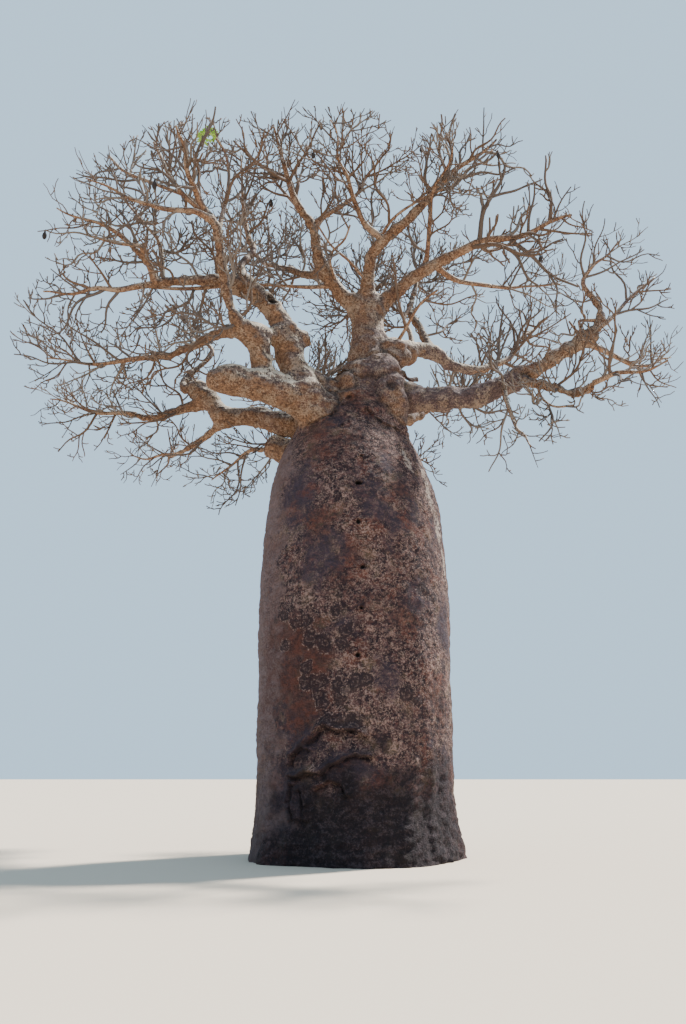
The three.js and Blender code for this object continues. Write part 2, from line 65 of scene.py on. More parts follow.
# Each limb: its parent, a height on the trunk or a share of the parent's length,
# its thickness at the root and at the tip, and its reaches as length, bearing and rise.
BOUGHS = {
    "left_great": ("trunk", 9.5, 0.76, 0.34, [
        (0.9, -136, 28), (0.95, -152, 24), (0.65, -132, 66), (0.55, -144, 72), (0.85, -161, 44),
        (0.4, -148, 12)]),
    "right_low": ("trunk", 10.15, 0.6, 0.31, [
        (2.35, -14, -9), (0.7, -16, 14), (1.3, -14, 20), (1.18, -12, 29)]),
    "left_stub": ("trunk", 9.65, 0.76, 0.62, [(1.7, -138, -4), (0.75, -150, 8), (1.35, -157, 3)]),
    "left_low": ("trunk", 9.3, 0.6, 0.38, [
        (1.52, 164, 10), (0.9, 158, 22), (0.85, 166, 6), (0.45, 161, 45), (0.75, 165, 48)]),
    "top_left": ("trunk", 12.25, 0.42, 0.19, [
        (0.86, -167, 40), (0.9, -148, 50), (0.8, -112, 57), (0.45, -142, 42)]),
    "top_right": ("trunk", 12.3, 0.35, 0.2, [
        (1.2, -80, 69), (0.5, -45, 50), (0.9, -30, 29), (0.45, -25, 39)]),
    "right_high": ("trunk", 12.15, 0.38, 0.25, [(1.06, -11, 44), (0.87, -15, 33), (0.6, -12, 24)]),
    "right_middle": ("trunk", 11.4, 0.48, 0.19, [
        (1.4, 38, 17), (0.85, 36, 6), (0.6, 34, -18), (0.9, 28, 6), (0.3, 22, 34)]),
    "back_high": ("trunk", 11.7, 0.33, 0.18, [(1.2, 85, 48), (1.2, 110, 42), (0.5, 80, 34)]),
    "back": ("trunk", 10.15, 0.48, 0.2, [(2.4, 108, 18), (1.5, 96, 32), (0.7, 116, 28)]),
    "back_right": ("trunk", 9.85, 0.48, 0.2, [(2.4, 56, 12), (1.5, 66, 30), (0.8, 50, 26)]),
    "back_left": ("trunk", 9.25, 0.26, 0.13, [(1.5, 140, 6), (1.2, 132, 4), (0.9, 124, 18)]),
    "left_long": ("left_great", 1, 0.29, 0.15, [(0.65, -152, -5), (0.85, -158, -14), (0.75, -164, -18)]),
    "left_riser": ("left_long", 0.88, 0.16, 0.12, [(0.4, -118, 54), (0.45, -158, 45)]),
    "left_upright": ("left_great", 0.62, 0.27, 0.17, [
        (1.08, -137, -18), (0.65, -128, 37), (1.15, -116, 66), (0.55, -112, 67), (0.45, -157, 52)]),
    "left_fork": ("left_upright", 0.93, 0.15, 0.12, [(0.4, -149, 10), (0.4, -166, -5)]),
    "left_inner": ("left_great", 0.97, 0.21, 0.13, [(0.8, 109, 65), (0.6, 42, 58), (0.4, 140, 68)]),
    "left_middle": ("left_upright", 0.3, 0.24, 0.14, [(0.55, 146, 18), (1.6, 143, -1), (0.9, 152, 6)]),
    "left_low_tip": ("left_low", 0.92, 0.25, 0.14, [(0.3, 154, -35), (1.3, 166, -10), (0.4, 173, 18)]),
    "left_low_riser": ("left_low", 0.97, 0.24, 0.12, [(0.6, 153, 20), (0.4, 80, 62), (0.75, 26, 51)]),
    "left_low_fall": ("left_low", 0.74, 0.23, 0.12, [(0.95, 130, -16), (1, 135, -7)]),
    "top_middle": ("top_left", 0.82, 0.17, 0.12, [(0.4, 0, 62), (0.7, 8, 40)]),
    "top_back": ("top_left", 0.5, 0.21, 0.13, [(0.65, 132, 16), (0.85, 136, 33), (0.5, 139, 32)]),
    "top_front": ("top_right", 0.61, 0.17, 0.12, [(0.6, -157, 34), (0.45, -134, 50)]),
    "right_high_fork": ("right_high", 0.84, 0.16, 0.11, [(0.8, 40, -8), (1.15, 32, 10)]),
    "right_high_riser": ("right_high", 0.68, 0.14, 0.105, [(0.4, -38, 57), (0.85, -88, 36)]),
    "right_middle_riser": ("right_middle", 0.52, 0.24, 0.14, [
        (1.2, 120, 62), (0.7, 124, 59), (0.6, 60, 66)]),
    "right_curl": ("right_low", 1, 0.25, 0.12, [(0.5, -6, 52), (0.4, 0, 76), (0.5, 180, 58)]),
    "right_low_fork": ("right_low", 0.66, 0.2, 0.13, [(0.5, -47, -27), (1.3, -45, -29), (0.35, -44, 20)]),
    "right_low_fall": ("right_low", 0.62, 0.13, 0.08, [(0.48, -106, -60), (0.8, -75, -66)]),
    "right_low_tip": ("right_low", 0.97, 0.16, 0.11, [(0.55, 34, 0), (1.15, 34, -5)]),
}

# Each mass of twigs has the name of the limb that it ends: the reach, width and depth of its space,
# the bearing and rise of that space, and how many dried fruits hang in it.
MASSES = {
    "top_left": (2.35, 2.9, 2.5, -118, 54, 2),
    "top_middle": (2.2, 2.5, 2.3, -12, 56, 0),
    "top_back": (3.1, 3.2, 2.6, 128, 40, 1),
    "top_right": (2.75, 2.9, 2.5, -20, 34, 2),
    "top_front": (3, 2.7, 2, -100, 0, 1),
    "right_high": (3.7, 2.9, 2.2, -10, 10, 1),
    "right_high_fork": (2.9, 2.8, 1.8, 24, 14, 0),
    "right_high_riser": (2.8, 2.6, 2, -80, 6, 0),
    "right_middle": (3.5, 3, 2.5, 36, 46, 0),
    "right_middle_riser": (3, 2.8, 2.6, 74, 46, 1),
    "right_curl": (2.1, 2.5, 2.2, 2, 42, 0),
    "right_low_fork": (2, 2.4, 1.7, -48, -10, 0),
    "right_low_fall": (1.3, 1.7, 1.4, -60, -55, 0),
    "right_low_tip": (1.5, 2.3, 1.9, 16, 22, 0),
    "left_long": (2.45, 2.3, 1.6, -167, -16, 0),
    "left_riser": (2.15, 2.7, 2, -160, 14, 1),
    "left_upright": (2.15, 3.2, 2.4, -98, 26, 2),
    "left_fork": (2.25, 2.5, 2, -158, 10, 0),
    "left_inner": (2.6, 2.5, 2.5, -110, 74, 1),
    "left_middle": (3.35, 2.9, 1.9, 166, 3, 0),
    "left_low_tip": (2.9, 2.6, 1.7, 172, 9, 0),
    "left_low_riser": (3, 2.8, 2.2, 147, 34, 0),
    "left_low_fall": (2.4, 2.3, 1.7, 146, 8, 0),
    "back_high": (3.2, 3.2, 2.6, 86, 48, 1),
    "back": (3.5, 3.6, 2.7, 106, 30, 1),
    "back_right": (3.5, 3.6, 2.6, 46, 27, 0),
    "back_left": (2.6, 2.4, 1.8, 134, -18, 0),
    "shoulder": (1.5, 1.6, 1.3, 34, 14, 0),
}
print(len(BOUGHS), "limbs and", len(MASSES), "masses of twigs")

# %% [markdown]
# ## Lines that bend
# A limb's middle line is a smooth curve through the ends of its reaches. A Blender curve object could
# draw it, but the twigs need places and directions along it as numbers, so the curve is worked out here.

# %% Smooth lines
UP = np.array([0.0, 0.0, 1.0])
GOLDEN_ANGLE = math.radians(137.5)
TAPER = 0.8  # below 1, a limb thins faster near its root
FORK_SINK = 0.3  # a limb on a tip starts this share of the tip's thickness inside it
CURVE_SAMPLES, TRUNK_SAMPLES = 200, 4000


def unit(vectors):
    return vectors / np.linalg.norm(vectors, axis=-1, keepdims=True)


def heading_of(bearing, rise):
    b, r = math.radians(bearing), math.radians(rise)
    return np.array([math.cos(b) * math.cos(r), math.sin(b) * math.cos(r), math.sin(r)])


def smooth_curve(knots, shares):
    """Places on a smooth curve through the knots, at shares of the way from knot to knot."""
    last = len(knots) - 1
    padded = np.vstack([2 * knots[0] - knots[1], knots, 2 * knots[-1] - knots[-2]])
    place = np.asarray(shares, dtype=float) * last
    i = np.clip(place.astype(int), 0, last - 1)
    t = (place - i)[:, None]
    a, b, c, d = (padded[i + k] for k in range(4))
    return b + 0.5 * t * (c - a + t * (2 * a - 5 * b + 4 * c - d + t * (3 * b - a - 3 * c + d)))


class Limb:
    """A tapering limb: places and radii at shares of its length."""

    def __init__(self, knots, root, tip):
        self.knots = np.array(knots)
        self.root, self.tip = root, tip
        self.samples = np.linspace(0, 1, CURVE_SAMPLES + 1)
        fine = smooth_curve(self.knots, self.samples)
        self.run = np.concatenate([[0], np.cumsum(np.linalg.norm(np.diff(fine, axis=0), axis=1))])
        self.length = self.run[-1]

    def places(self, shares):
        return smooth_curve(self.knots, np.interp(np.asarray(shares) * self.length, self.run, self.samples))

    def radii(self, shares):
        return (self.root + (self.tip - self.root) * np.asarray(shares) ** TAPER) / 2

    def line(self, step):
        """Places and radii about every step along the limb."""
        shares = np.linspace(0, 1, max(3, round(self.length / step)) + 1)
        return self.places(shares), self.radii(shares)


def trunk_line(samples):
    """The trunk's middles and radii at even shares of the way through its girths."""
    girths = np.array(GIRTHS, dtype=float)
    shares = np.linspace(0, 1, samples + 1)
    return smooth_curve(girths[:, [2, 3, 0]], shares), smooth_curve(girths[:, [1]], shares)[:, 0]


trunk_middles, trunk_radii = trunk_line(TRUNK_SAMPLES)


def trunk_at(heights):
    """The trunk's middle in X and Y and its radius, at each height."""
    x, y, column = trunk_middles.T
    return [np.interp(heights, column, values) for values in (x, y, trunk_radii)]


limbs = {}


def add_limbs(rows):
    """Draws the limbs of a table, each on the trunk or on a limb that is drawn already."""
    for name, (parent, at, root, tip, reaches) in rows.items():
        if parent == "trunk":
            x, y, _ = trunk_at(at)
            knots = [np.array([x, y, at])]
        else:
            below = limbs[parent]
            knots = [below.places([at if at < 1 else 1 - FORK_SINK * below.tip / below.length])[0]]
        for length, bearing, rise in reaches:
            knots.append(knots[-1] + heading_of(bearing, rise) * length)
        limbs[name] = Limb(knots, root, tip)


add_limbs(BOUGHS)
print("limbs are", round(sum(limb.length for limb in limbs.values()), 1), "m long in all")

# %% [markdown]
# ## The rule of growth
# A twig starts on its parent at a set share of the length, tilts off it, turns round it by the golden
# angle from one twig to the next, and then curves up as it grows. It stops where it would leave the
# space of its own mass or run into a limb. Seeded dice make every twig different, but always the same
# one on each run. A particle system could scatter twigs too, but it would not follow this rule.
# All twigs of a kind are grown side by side in arrays, which takes seconds in place of minutes.

# %% Dice and directions
LEAST_TWIG = 0.4  # a twig stopped before this share of its length is dropped
CLEAR_OF_LIMBS = 0.03
BORDER = 0.07  # share of a mass's space kept empty along its neighbours
SPACE_REACH = 0.56  # half the length of a mass's space, over its reach
SEED_STEP = 977
TWIG_SEED_STEP = 31
RING_STEP = 0.5  # length of a limb between two places where twigs keep clear of it
TRUNK_RINGS = 17  # lengths of trunk that twigs keep clear of
DICE_STEP, DICE_SIDES = 0x6D2B79F5, 2 ** 32


class Dice:
    """Seeded numbers from 0 to 1, one stream for each seed."""

    def __init__(self, seeds):
        self.state = np.asarray(seeds, dtype=np.uint64).astype(np.uint32)

    def roll(self):
        self.state = self.state + np.uint32(DICE_STEP)
        mixed = (self.state ^ (self.state >> 15)) * (self.state | 1)
        mixed = mixed ^ (mixed + (mixed ^ (mixed >> 7)) * (mixed | 61))
        return (mixed ^ (mixed >> 14)) / DICE_SIDES


def square_to(headings):
    """A unit vector square to each heading, level where it can be."""
    level = np.cross(headings, UP)
    size = np.linalg.norm(level, axis=-1, keepdims=True)
    return np.where(size > 1e-3, level / np.maximum(size, 1e-3), [1.0, 0.0, 0.0])


def rounded(values):
    """Whole numbers, with halves rounded up as in the solids."""
    return np.floor(values + 0.5).astype(int)


def turned(vectors, axes, angles):
    """Each vector turned round its axis."""
    c, s = np.cos(angles)[:, None], np.sin(angles)[:, None]
    along = np.sum(vectors * axes, axis=1, keepdims=True)
    return vectors * c + np.cross(axes, vectors) * s + axes * along * (1 - c)


# %% The spaces of the masses
Spaces = namedtuple("Spaces", "root come_from radius reach spread axes centre")
SHOULDER = {"height": 8.8, "thick": 0.07, "sink": 0.9}  # the one mass that grows on the trunk itself


def plant_masses():
    """The spaces of all masses, each field as an array with a row for every mass."""
    rows = []
    for name, (reach, width, depth, bearing, rise, _) in MASSES.items():
        heading = heading_of(bearing, rise)
        if name in limbs:
            places, radii = limbs[name].line(RING_STEP)
            come_from = unit(places[-1] - places[-2])
            root, radius = places[-1], radii[-1]
        else:
            x, y, out = trunk_at(SHOULDER["height"])
            come_from = heading_of(bearing, 0)
            root = np.array([x, y, SHOULDER["height"]]) + come_from * out * SHOULDER["sink"]
            radius = SHOULDER["thick"] / 2
        side = square_to(heading[None])[0]
        axes = [heading / (reach * SPACE_REACH), side / (width / 2), np.cross(side, heading) / (depth / 2)]
        rows.append((root, come_from, radius, reach, reach + width, axes, root + heading * reach / 2))
    return Spaces(*(np.array(column) for column in zip(*rows)))


spaces = plant_masses()
mass_names = list(MASSES)


def depths_in(points):
    """How far out each point lies in each mass's space: 0 in the middle, 1 at the edge."""
    away = points[:, None, :] - spaces.centre[None]
    return np.sqrt(np.einsum("pmk,mak->pma", away, spaces.axes) ** 2 @ np.ones(3))


def segments_of(lines):
    """The starts, runs and radii of every length between two places on the lines."""
    starts = np.concatenate([p[:-1] for p, _ in lines])
    runs = np.concatenate([np.diff(p, axis=0) for p, _ in lines])
    near = np.concatenate([r[:-1] for _, r in lines])
    far = np.concatenate([r[1:] for _, r in lines])
    return starts, runs, near, far


def gap_to(points, segments):
    """Distance from each point to the nearest of the tapering lengths, and the way out of it."""
    best = np.full(len(points), np.inf)
    out = np.zeros((len(points), 3))
    for start, run, near, far in zip(*segments):
        share = np.clip((points - start) @ run / (run @ run), 0, 1)
        away = points - start - share[:, None] * run
        size = np.linalg.norm(away, axis=1)
        gap = size - (near + (far - near) * share)
        closer = gap < best
        best[closer] = gap[closer]
        out[closer] = away[closer] / np.maximum(size[closer, None], 1e-6)
    return best, out


limb_segments = segments_of([trunk_line(TRUNK_RINGS)] + [limb.line(RING_STEP) for limb in limbs.values()])
print(len(limb_segments[0]), "lengths of limb to keep clear of")


# %% Growing a generation
@dataclass
class Habit:
    """How one kind of twig grows on its parent."""

    first: float = 0.1  # share of the parent where the first one leaves
    span: float = 0.86  # share of the parent over which they leave
    loose: float = 0.6  # how unevenly they are spaced along it
    sway: float = 30.0  # degrees by which the turn from one to the next may differ
    splay: float = 54.0  # degrees between twig and parent
    share: float = 0.3125  # length over the parent's
    longest: float = 1.15  # times that length, at the parent's root
    shorten: float = 0.55  # and how much less of it at the parent's tip
    lift: float = 0.3  # how far it curves up
    crook: float = 0.35  # how far it winds to one side and back
    thin: float = 0.62  # thickness over the parent's
    thinning: float = 0.7  # how much thinner than that at the parent's tip
    least: float = 0.015  # smallest radius in metres
    stride: float = 0.115  # metres from one point of its line to the next


STEM_SHARE = 0.84  # length of a stem over its mass's reach
STEM_TAPER = 0.75  # share of its radius that a stem loses up to its tip
STEM_TURN = 0.4  # share of a stem over which it turns from the limb's way into its own
STEM = Habit(lift=0.1, crook=0.25)
TWIG = Habit()
SPIKE = Habit(first=0.3, span=0.62, loose=0.5, sway=360, splay=50, share=0.5, longest=1.2,
              shorten=0.6, lift=0.6, crook=0.25, thinning=0.6, least=0.012)


@dataclass
class Growth:
    """Lines of one generation, padded to one length by repeating their tips."""

    points: np.ndarray
    counts: np.ndarray  # how many of its points each line really has
    radius: np.ndarray
    spread: np.ndarray  # what the lengths of the next generation are a share of
    mass: np.ndarray
    seed: np.ndarray
    spray: np.ndarray  # number of the twig that each line grows on in the end

    def pick(self, which):
        return Growth(*(getattr(self, name)[which] for name in GROWTH_FIELDS))


GROWTH_FIELDS = [field.name for field in fields(Growth)]


def grow(starts, headings, lengths, habit, dice, has_room, come_from=None):
    """Lines of points that curve up and crooked to one side, with how many points each one has."""
    steps = np.maximum(2, rounded(lengths / habit.stride))
    aside = turned(square_to(headings), headings, dice.roll() * 2 * math.pi)
    bends = 1 + dice.roll()
    most = int(steps.max())
    points = np.repeat(starts[:, None], most + 1, axis=1)
    counts = np.ones(len(starts), dtype=int)
    growing = np.ones(len(starts), dtype=bool)
    for i in range(1, most + 1):
        share = i / steps
        way = headings + aside * (habit.crook * np.sin(2 * math.pi * bends * share))[:, None]
        way = way + UP * (habit.lift * share)[:, None]
        if come_from is not None:
            t = np.clip(share / STEM_TURN, 0, 1)
            way = way + (come_from - way) * (1 - t * t * (3 - 2 * t))[:, None]
        ahead = points[:, i - 1] + unit(way) * (lengths / steps)[:, None]
        growing &= i <= steps
        alive = np.flatnonzero(growing)
        growing[alive] = has_room(ahead[alive], alive)
        points[growing, i:] = ahead[growing, None]
        counts += growing
    return points, counts, counts - 1 >= LEAST_TWIG * steps


def offshoots(parents, habit, numbers, seed_of, test_room):
    """The next generation: numbers[j] twigs on parent j."""
    j = np.repeat(np.arange(len(numbers)), numbers)
    i = np.arange(len(j)) - np.repeat(np.cumsum(numbers) - numbers, numbers)
    seeds = seed_of(parents.seed[j], i)
    dice = Dice(seeds)
    share = habit.first + habit.span * (i + dice.roll() * habit.loose) / numbers[j]
    exact = share * (parents.counts[j] - 1)
    low = np.minimum(parents.counts[j] - 2, exact.astype(int))
    here, there = parents.points[j, low], parents.points[j, low + 1]
    ahead = unit(there - here)
    tilt = turned(square_to(ahead), ahead, i * GOLDEN_ANGLE + math.radians(habit.sway) * dice.roll())
    ways = turned(ahead, tilt, math.radians(habit.splay) * (0.8 + 0.4 * dice.roll()))
    lengths = parents.spread[j] * habit.share * (habit.longest - habit.shorten * share)
    mass = parents.mass[j]
    starts = here + (there - here) * (exact - low)[:, None]
    points, counts, kept = grow(
        starts, ways, lengths, habit, dice, lambda at, which: test_room(at, mass[which], which, j[which]))
    radius = np.maximum(habit.least, parents.radius[j] * (1 - habit.thinning * share) * habit.thin)
    return Growth(points, counts, radius, lengths, mass, seeds, parents.spray[j]).pick(kept)


# %% [markdown]
# ## Stems, twigs and spikes
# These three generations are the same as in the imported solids, so the crown keeps their outline.
# Stems come first, because each mass keeps clear of the stems of the others.

# %% The generations of the solids
mass_count = len(mass_names)
stem_ids = np.arange(mass_count)
stem_seeds = (stem_ids + 1) * SEED_STEP
stem_points, stem_counts, _ = grow(
    spaces.root, unit(spaces.axes[:, 0]), spaces.reach * STEM_SHARE, STEM, Dice(stem_seeds),
    lambda at, which: np.ones(len(at), dtype=bool), spaces.come_from)
stems = Growth(stem_points, stem_counts, spaces.radius, spaces.spread, stem_ids, stem_seeds, stem_ids)


def stem_line(k):
    n = stems.counts[k]
    return stems.points[k, :n], stems.radius[k] * (1 - STEM_TAPER * np.linspace(0, 1, n))


stem_segments = [segments_of([stem_line(k) for k in range(mass_count) if k != own])
                 for own in range(mass_count)]


def own_space(points, mass):
    """Whether each point is inside its mass's space, more so than in any other."""
    depths = depths_in(points)
    rows = np.arange(len(points))
    own = depths[rows, mass]
    depths[rows, mass] = np.inf
    return (own <= 1) & (depths.min(axis=1) >= own + BORDER)


def strict_room(points, mass, *_):
    room = own_space(points, mass) & (gap_to(points, limb_segments)[0] > CLEAR_OF_LIMBS)
    for k in np.unique(mass[room]):
        which = np.flatnonzero(room & (mass == k))
        room[which] = gap_to(points[which], stem_segments[k])[0] > CLEAR_OF_LIMBS
    return room


TWIGS_PER_METRE = 3.6
SPIKES = 2
twig_numbers = rounded(TWIGS_PER_METRE * spaces.reach)
twigs = offshoots(stems, TWIG, twig_numbers, lambda seed, i: seed + (i + 1) * TWIG_SEED_STEP, strict_room)
twigs.spray = np.arange(len(twigs.counts))
spikes = offshoots(twigs, SPIKE, np.full(len(twigs.counts), SPIKES),
                   lambda seed, i: seed * TWIG_SEED_STEP + i + 1, strict_room)
print(len(twigs.counts), "twigs and", len(spikes.counts), "spikes, as in the solids")

# %% [markdown]
# ## Finer twigs
# The solids can afford only a few twigs. On the tree long arms leave the limbs and stems all along and
# fork into branches, both are set with side twigs all round, and these end in stubby spurs. The same
# rule grows them, with habits of their own, and the crown is divided into cells: where a twig has
# grown, no other of its kind enters. That spreads them as evenly as light does on the real tree.

# %% Finer generations
ARM = Habit(first=0.22, span=0.76, loose=0.9, sway=100, splay=58, share=0.36, longest=1.15,
            shorten=0.45, lift=0.45, crook=0.45, thin=0.62, thinning=0.45, least=0.018, stride=0.14)
BRANCH = Habit(first=0.15, span=0.8, sway=80, splay=40, share=0.56, longest=1.15, shorten=0.4,
               lift=0.35, crook=0.4, thin=0.75, thinning=0.35, least=0.017, stride=0.12)
SIDE = Habit(first=0.1, span=0.9, sway=70, splay=44, share=0.40, longest=1.2, shorten=0.7,
             lift=0.5, crook=0.3, thin=0.62, thinning=0.4, least=0.0165, stride=0.09)
SPUR = Habit(first=0.28, span=0.72, sway=90, splay=42, share=0.42, longest=1.2, shorten=0.5,
             lift=0.7, crook=0.15, thin=0.85, thinning=0.3, least=0.0145, stride=0.07)
ARMS_PER_METRE, STEM_ARMS_PER_METRE = 3.0, 2.0
BRANCHES_PER_METRE = 2.4
SIDES_PER_METRE = 3.6
SPURS_PER_METRE = 4.6
ARM_CELL, BRANCH_CELL, SIDE_CELL, SPUR_CELL = 0.40, 0.30, 0.20, 0.10
LIMB_SPREAD = 5.2  # what an arm's length is a share of on a limb, in metres
ARM_STOCK = 0.072  # radius of the wood that an arm on a limb springs from
NEW_SEEDS = 7919  # keeps the dice of the finer twigs apart from those of the solids
DOME_CENTRE, DOME_REACH = (-0.25, 1.0, 12.2), (8.1, 5.95, 4.72)
# How full of finer twigs each mass is, where that is not 1.
FULLNESS = {
    "top_front": 0.75, "top_right": 0.38, "right_high": 0.42, "right_high_fork": 0.42,
    "right_high_riser": 0.75,
    "right_middle": 0.4, "right_curl": 0.5, "right_low_fall": 0.6, "right_low_tip": 0.6,
    "left_upright": 0.85, "left_fork": 0.85, "left_inner": 0.8, "left_middle": 0.8,
    "left_low_riser": 0.75, "left_low_tip": 0.75, "left_low_fall": 0.5, "back_right": 0.75,
    "back": 1.3, "back_high": 1.2, "back_left": 0.9, "top_back": 1.1, "shoulder": 0.7}
fullness = np.array([FULLNESS.get(name, 1.0) for name in mass_names])


class Cells:
    """Cells of the crown, each taken by the first line that enters it."""

    def __init__(self, size):
        self.size, self.owner = size, {}

    def keys(self, points):
        return map(tuple, np.floor(points / self.size).astype(int).tolist())

    def take(self, growth, first_owner):
        for line, (points, count) in enumerate(zip(growth.points, growth.counts)):
            for key in self.keys(points[:count]):
                self.owner.setdefault(key, first_owner + line)

    def free(self, points, lines, parents):
        """Whether each point's cell is free or belongs to the line itself or its parent."""
        rows = zip(self.keys(points), lines.tolist(), parents.tolist())
        return np.array([self.owner.setdefault(key, line) in (line, parent) for key, line, parent in rows])


def in_dome(points):
    """Inside a dome that is round seen from above and the side, and flatter on top from the front."""
    across, deep, up = np.abs((points - DOME_CENTRE) / DOME_REACH).T
    return (across ** 3 + up ** 3) ** (2 / 3) + deep ** 2 < 1


NEW_LINES = 10 ** 6  # numbers of the new lines start here, above those of any parent
NO_PARENT = -(10 ** 6)


def spaced_room(size, strangers, parents):
    """A test of room that keeps lines of one kind in cells of their own, away from strangers."""
    cells = Cells(size)
    for growth in strangers:
        cells.take(growth, NO_PARENT)
    if parents is not None:
        cells.take(parents, 0)

    def test(points, _mass, lines, parent_lines):
        room = in_dome(points) & (gap_to(points, limb_segments)[0] > CLEAR_OF_LIMBS / 2)
        room[room] = cells.free(points[room], lines[room] + NEW_LINES, parent_lines[room])
        return room

    return test


def side_numbers(growth, per_metre):
    return rounded(growth.spread * per_metre * fullness[growth.mass])


def next_seed(offset):
    return lambda seed, i: (seed * TWIG_SEED_STEP + NEW_SEEDS + offset + i) % 2 ** 31


def joined(*parts):
    """One growth of several, padded to the longest."""
    most = max(g.points.shape[1] for g in parts)
    padded = [np.concatenate([g.points] + [g.points[:, -1:]] * (most - g.points.shape[1]), axis=1)
              for g in parts]
    rest = [np.concatenate([getattr(g, name) for g in parts]) for name in GROWTH_FIELDS[1:]]
    return Growth(np.concatenate(padded), *rest)


def limb_growth():
    """The limbs themselves as parents of arms, each in the mass that it ends nearest to."""
    lines = [limb.line(RING_STEP / 4) for limb in limbs.values()]
    most = max(len(p) for p, _ in lines)
    points = np.stack([np.concatenate([p, np.repeat(p[-1:], most - len(p), axis=0)]) for p, _ in lines])
    near = np.argmin(depths_in(points[:, -1]), axis=1)
    count = np.array([len(p) for p, _ in lines])
    ids = np.arange(len(lines))
    return Growth(points, count, np.full(len(lines), ARM_STOCK), np.full(len(lines), LIMB_SPREAD),
                  near, (ids + 1) * NEW_SEEDS, ids)


# Small limbs that no solid has, on the limbs or on each other, in the form of the limbs' rows.
BRANCHLETS = {
    "hook_out": ("right_curl", 0.42, 0.085, 0.07, [(0.42, 180, 0), (0.08, 190, -60), (0.36, -80, -78)]),
    "hook_back": ("right_curl", 0.05, 0.07, 0.05, [(0.3, 178, 40), (0.28, 170, 60)]),
    "second_riser": ("right_middle", 0.36, 0.15, 0.08, [(0.6, 100, 68), (0.6, 120, 66), (0.7, 40, 60)]),
    "under_left": ("left_long", 0.1, 0.12, 0.06, [(0.8, 172, -4), (0.9, 160, 12), (0.6, 168, 14)]),
    "top_left_side": ("top_left", 0.36, 0.12, 0.06, [(0.6, 184, -6), (0.7, 170, 9), (0.8, 180, 3)]),
    "left_crown": ("left_upright", 0.93, 0.13, 0.06, [
        (0.74, -164, 38), (0.57, -164, 51), (0.67, 160, 65), (0.46, 150, 64)]),
    "left_crown_out": ("left_upright", 0.99, 0.11, 0.06, [
        (0.75, 144, 48), (0.88, 164, 32), (0.94, 173, 28), (0.7, 161, 49)]),
    "upright_top": ("left_upright", 0.86, 0.12, 0.06, [
        (1.06, 72, 73), (0.65, 74, 81), (0.54, -127, 77), (0.4, -136, 45)]),
    "riser_out": ("left_riser", 0.7, 0.11, 0.055, [(0.25, -100, 37), (0.46, -154, -8), (0.53, -158, 3)]),
    "riser_up": ("left_long", 0.8, 0.10, 0.05, [
        (1.19, 124, 72), (0.89, 145, 54), (0.99, 151, 52), (0.6, 164, 54)]),
    "top_side": ("top_left", 0.95, 0.10, 0.05, [(1.2, 170, 54), (0.75, 167, 60)]),
    "mid_up": ("top_right", 0.5, 0.09, 0.05, [(0.84, -35, 52), (0.87, -44, 8), (0.67, -36, 2)]),
    "inner_up": ("top_right", 0.25, 0.08, 0.045, [(0.67, -137, 28), (0.61, -137, 16), (0.58, -149, 48)]),
    "inner_side": ("top_left", 0.3, 0.08, 0.045, [(0.84, -109, 41), (0.57, -50, 23), (0.36, -55, 48)]),
    "right_out": ("right_low", 0.97, 0.12, 0.06, [(1.16, 20, 42), (1.02, 26, 47), (1.02, 23, 41)]),
    "mid_right": ("right_middle", 0.2, 0.10, 0.05, [(0.55, -58, 30), (0.69, -50, 41), (0.55, -25, 32)]),
    "loop_drop": ("right_low_fork", 0.3, 0.07, 0.045, [(0.4, -50, -75), (0.4, -40, -45), (0.4, -30, -8)]),
}
add_limbs(BRANCHLETS)
limb_lines = limb_growth()
limb_lengths = np.array([limb.length for limb in limbs.values()])
bearers = joined(limb_lines, stems)
bearer_lengths = np.concatenate([limb_lengths, spaces.reach])
arms_per_metre = np.repeat([ARMS_PER_METRE, STEM_ARMS_PER_METRE], [len(limb_lengths), mass_count])
arm_numbers = rounded(arms_per_metre * bearer_lengths * fullness[bearers.mass])
arms = offshoots(bearers, ARM, arm_numbers, next_seed(2), spaced_room(ARM_CELL, [], None))
branches = offshoots(arms, BRANCH, side_numbers(arms, BRANCHES_PER_METRE), next_seed(5),
                     spaced_room(BRANCH_CELL, [twigs, spikes], arms))
long_twigs = joined(twigs, arms, branches)
long_twigs.spray = np.arange(len(long_twigs.counts))
sides = offshoots(long_twigs, SIDE, side_numbers(long_twigs, SIDES_PER_METRE), next_seed(3),
                  spaced_room(SIDE_CELL, [spikes], None))
sides = joined(spikes, sides)
spurs = offshoots(sides, SPUR, side_numbers(sides, SPURS_PER_METRE), next_seed(4),
                  spaced_room(SPUR_CELL, [], None))
print(len(twigs.counts), "twigs,", len(spikes.counts), "spikes,", len(arms.counts), "arms,",
      len(branches.counts), "branches,", len(sides.counts), "side twigs and", len(spurs.counts), "spurs")

# %% [markdown]
# ## Twigs as meshes
# A twig is a slim tapering tube. A curve object with a bevel would draw one, but thousands of curves
# are slow, so the rings of all twigs with the same number of points are worked out together.
# Each ring is turned only as far as its line bends, which keeps the tubes free of twists.

# %% Tubes from lines
def placed(name, data):
    """An object with the given data, put in the scene."""
    made = bpy.data.objects.new(name, data)
    bpy.context.collection.objects.link(made)
    return made


def mesh_piece(name, corners, faces, materials, finish=0, smooth=True):
    """An object from corners and faces; the finish is a material's number, or one for each face."""
    mesh = bpy.data.meshes.new(name)
    mesh.from_pydata(np.asarray(corners).tolist(), [], faces)
    for material in materials:
        mesh.materials.append(material)
    mesh.polygons.foreach_set("material_index", np.broadcast_to(finish, len(faces)).astype(np.int32))
    mesh.polygons.foreach_set("use_smooth", [smooth] * len(faces))
    mesh.validate()
    return placed(name, mesh)


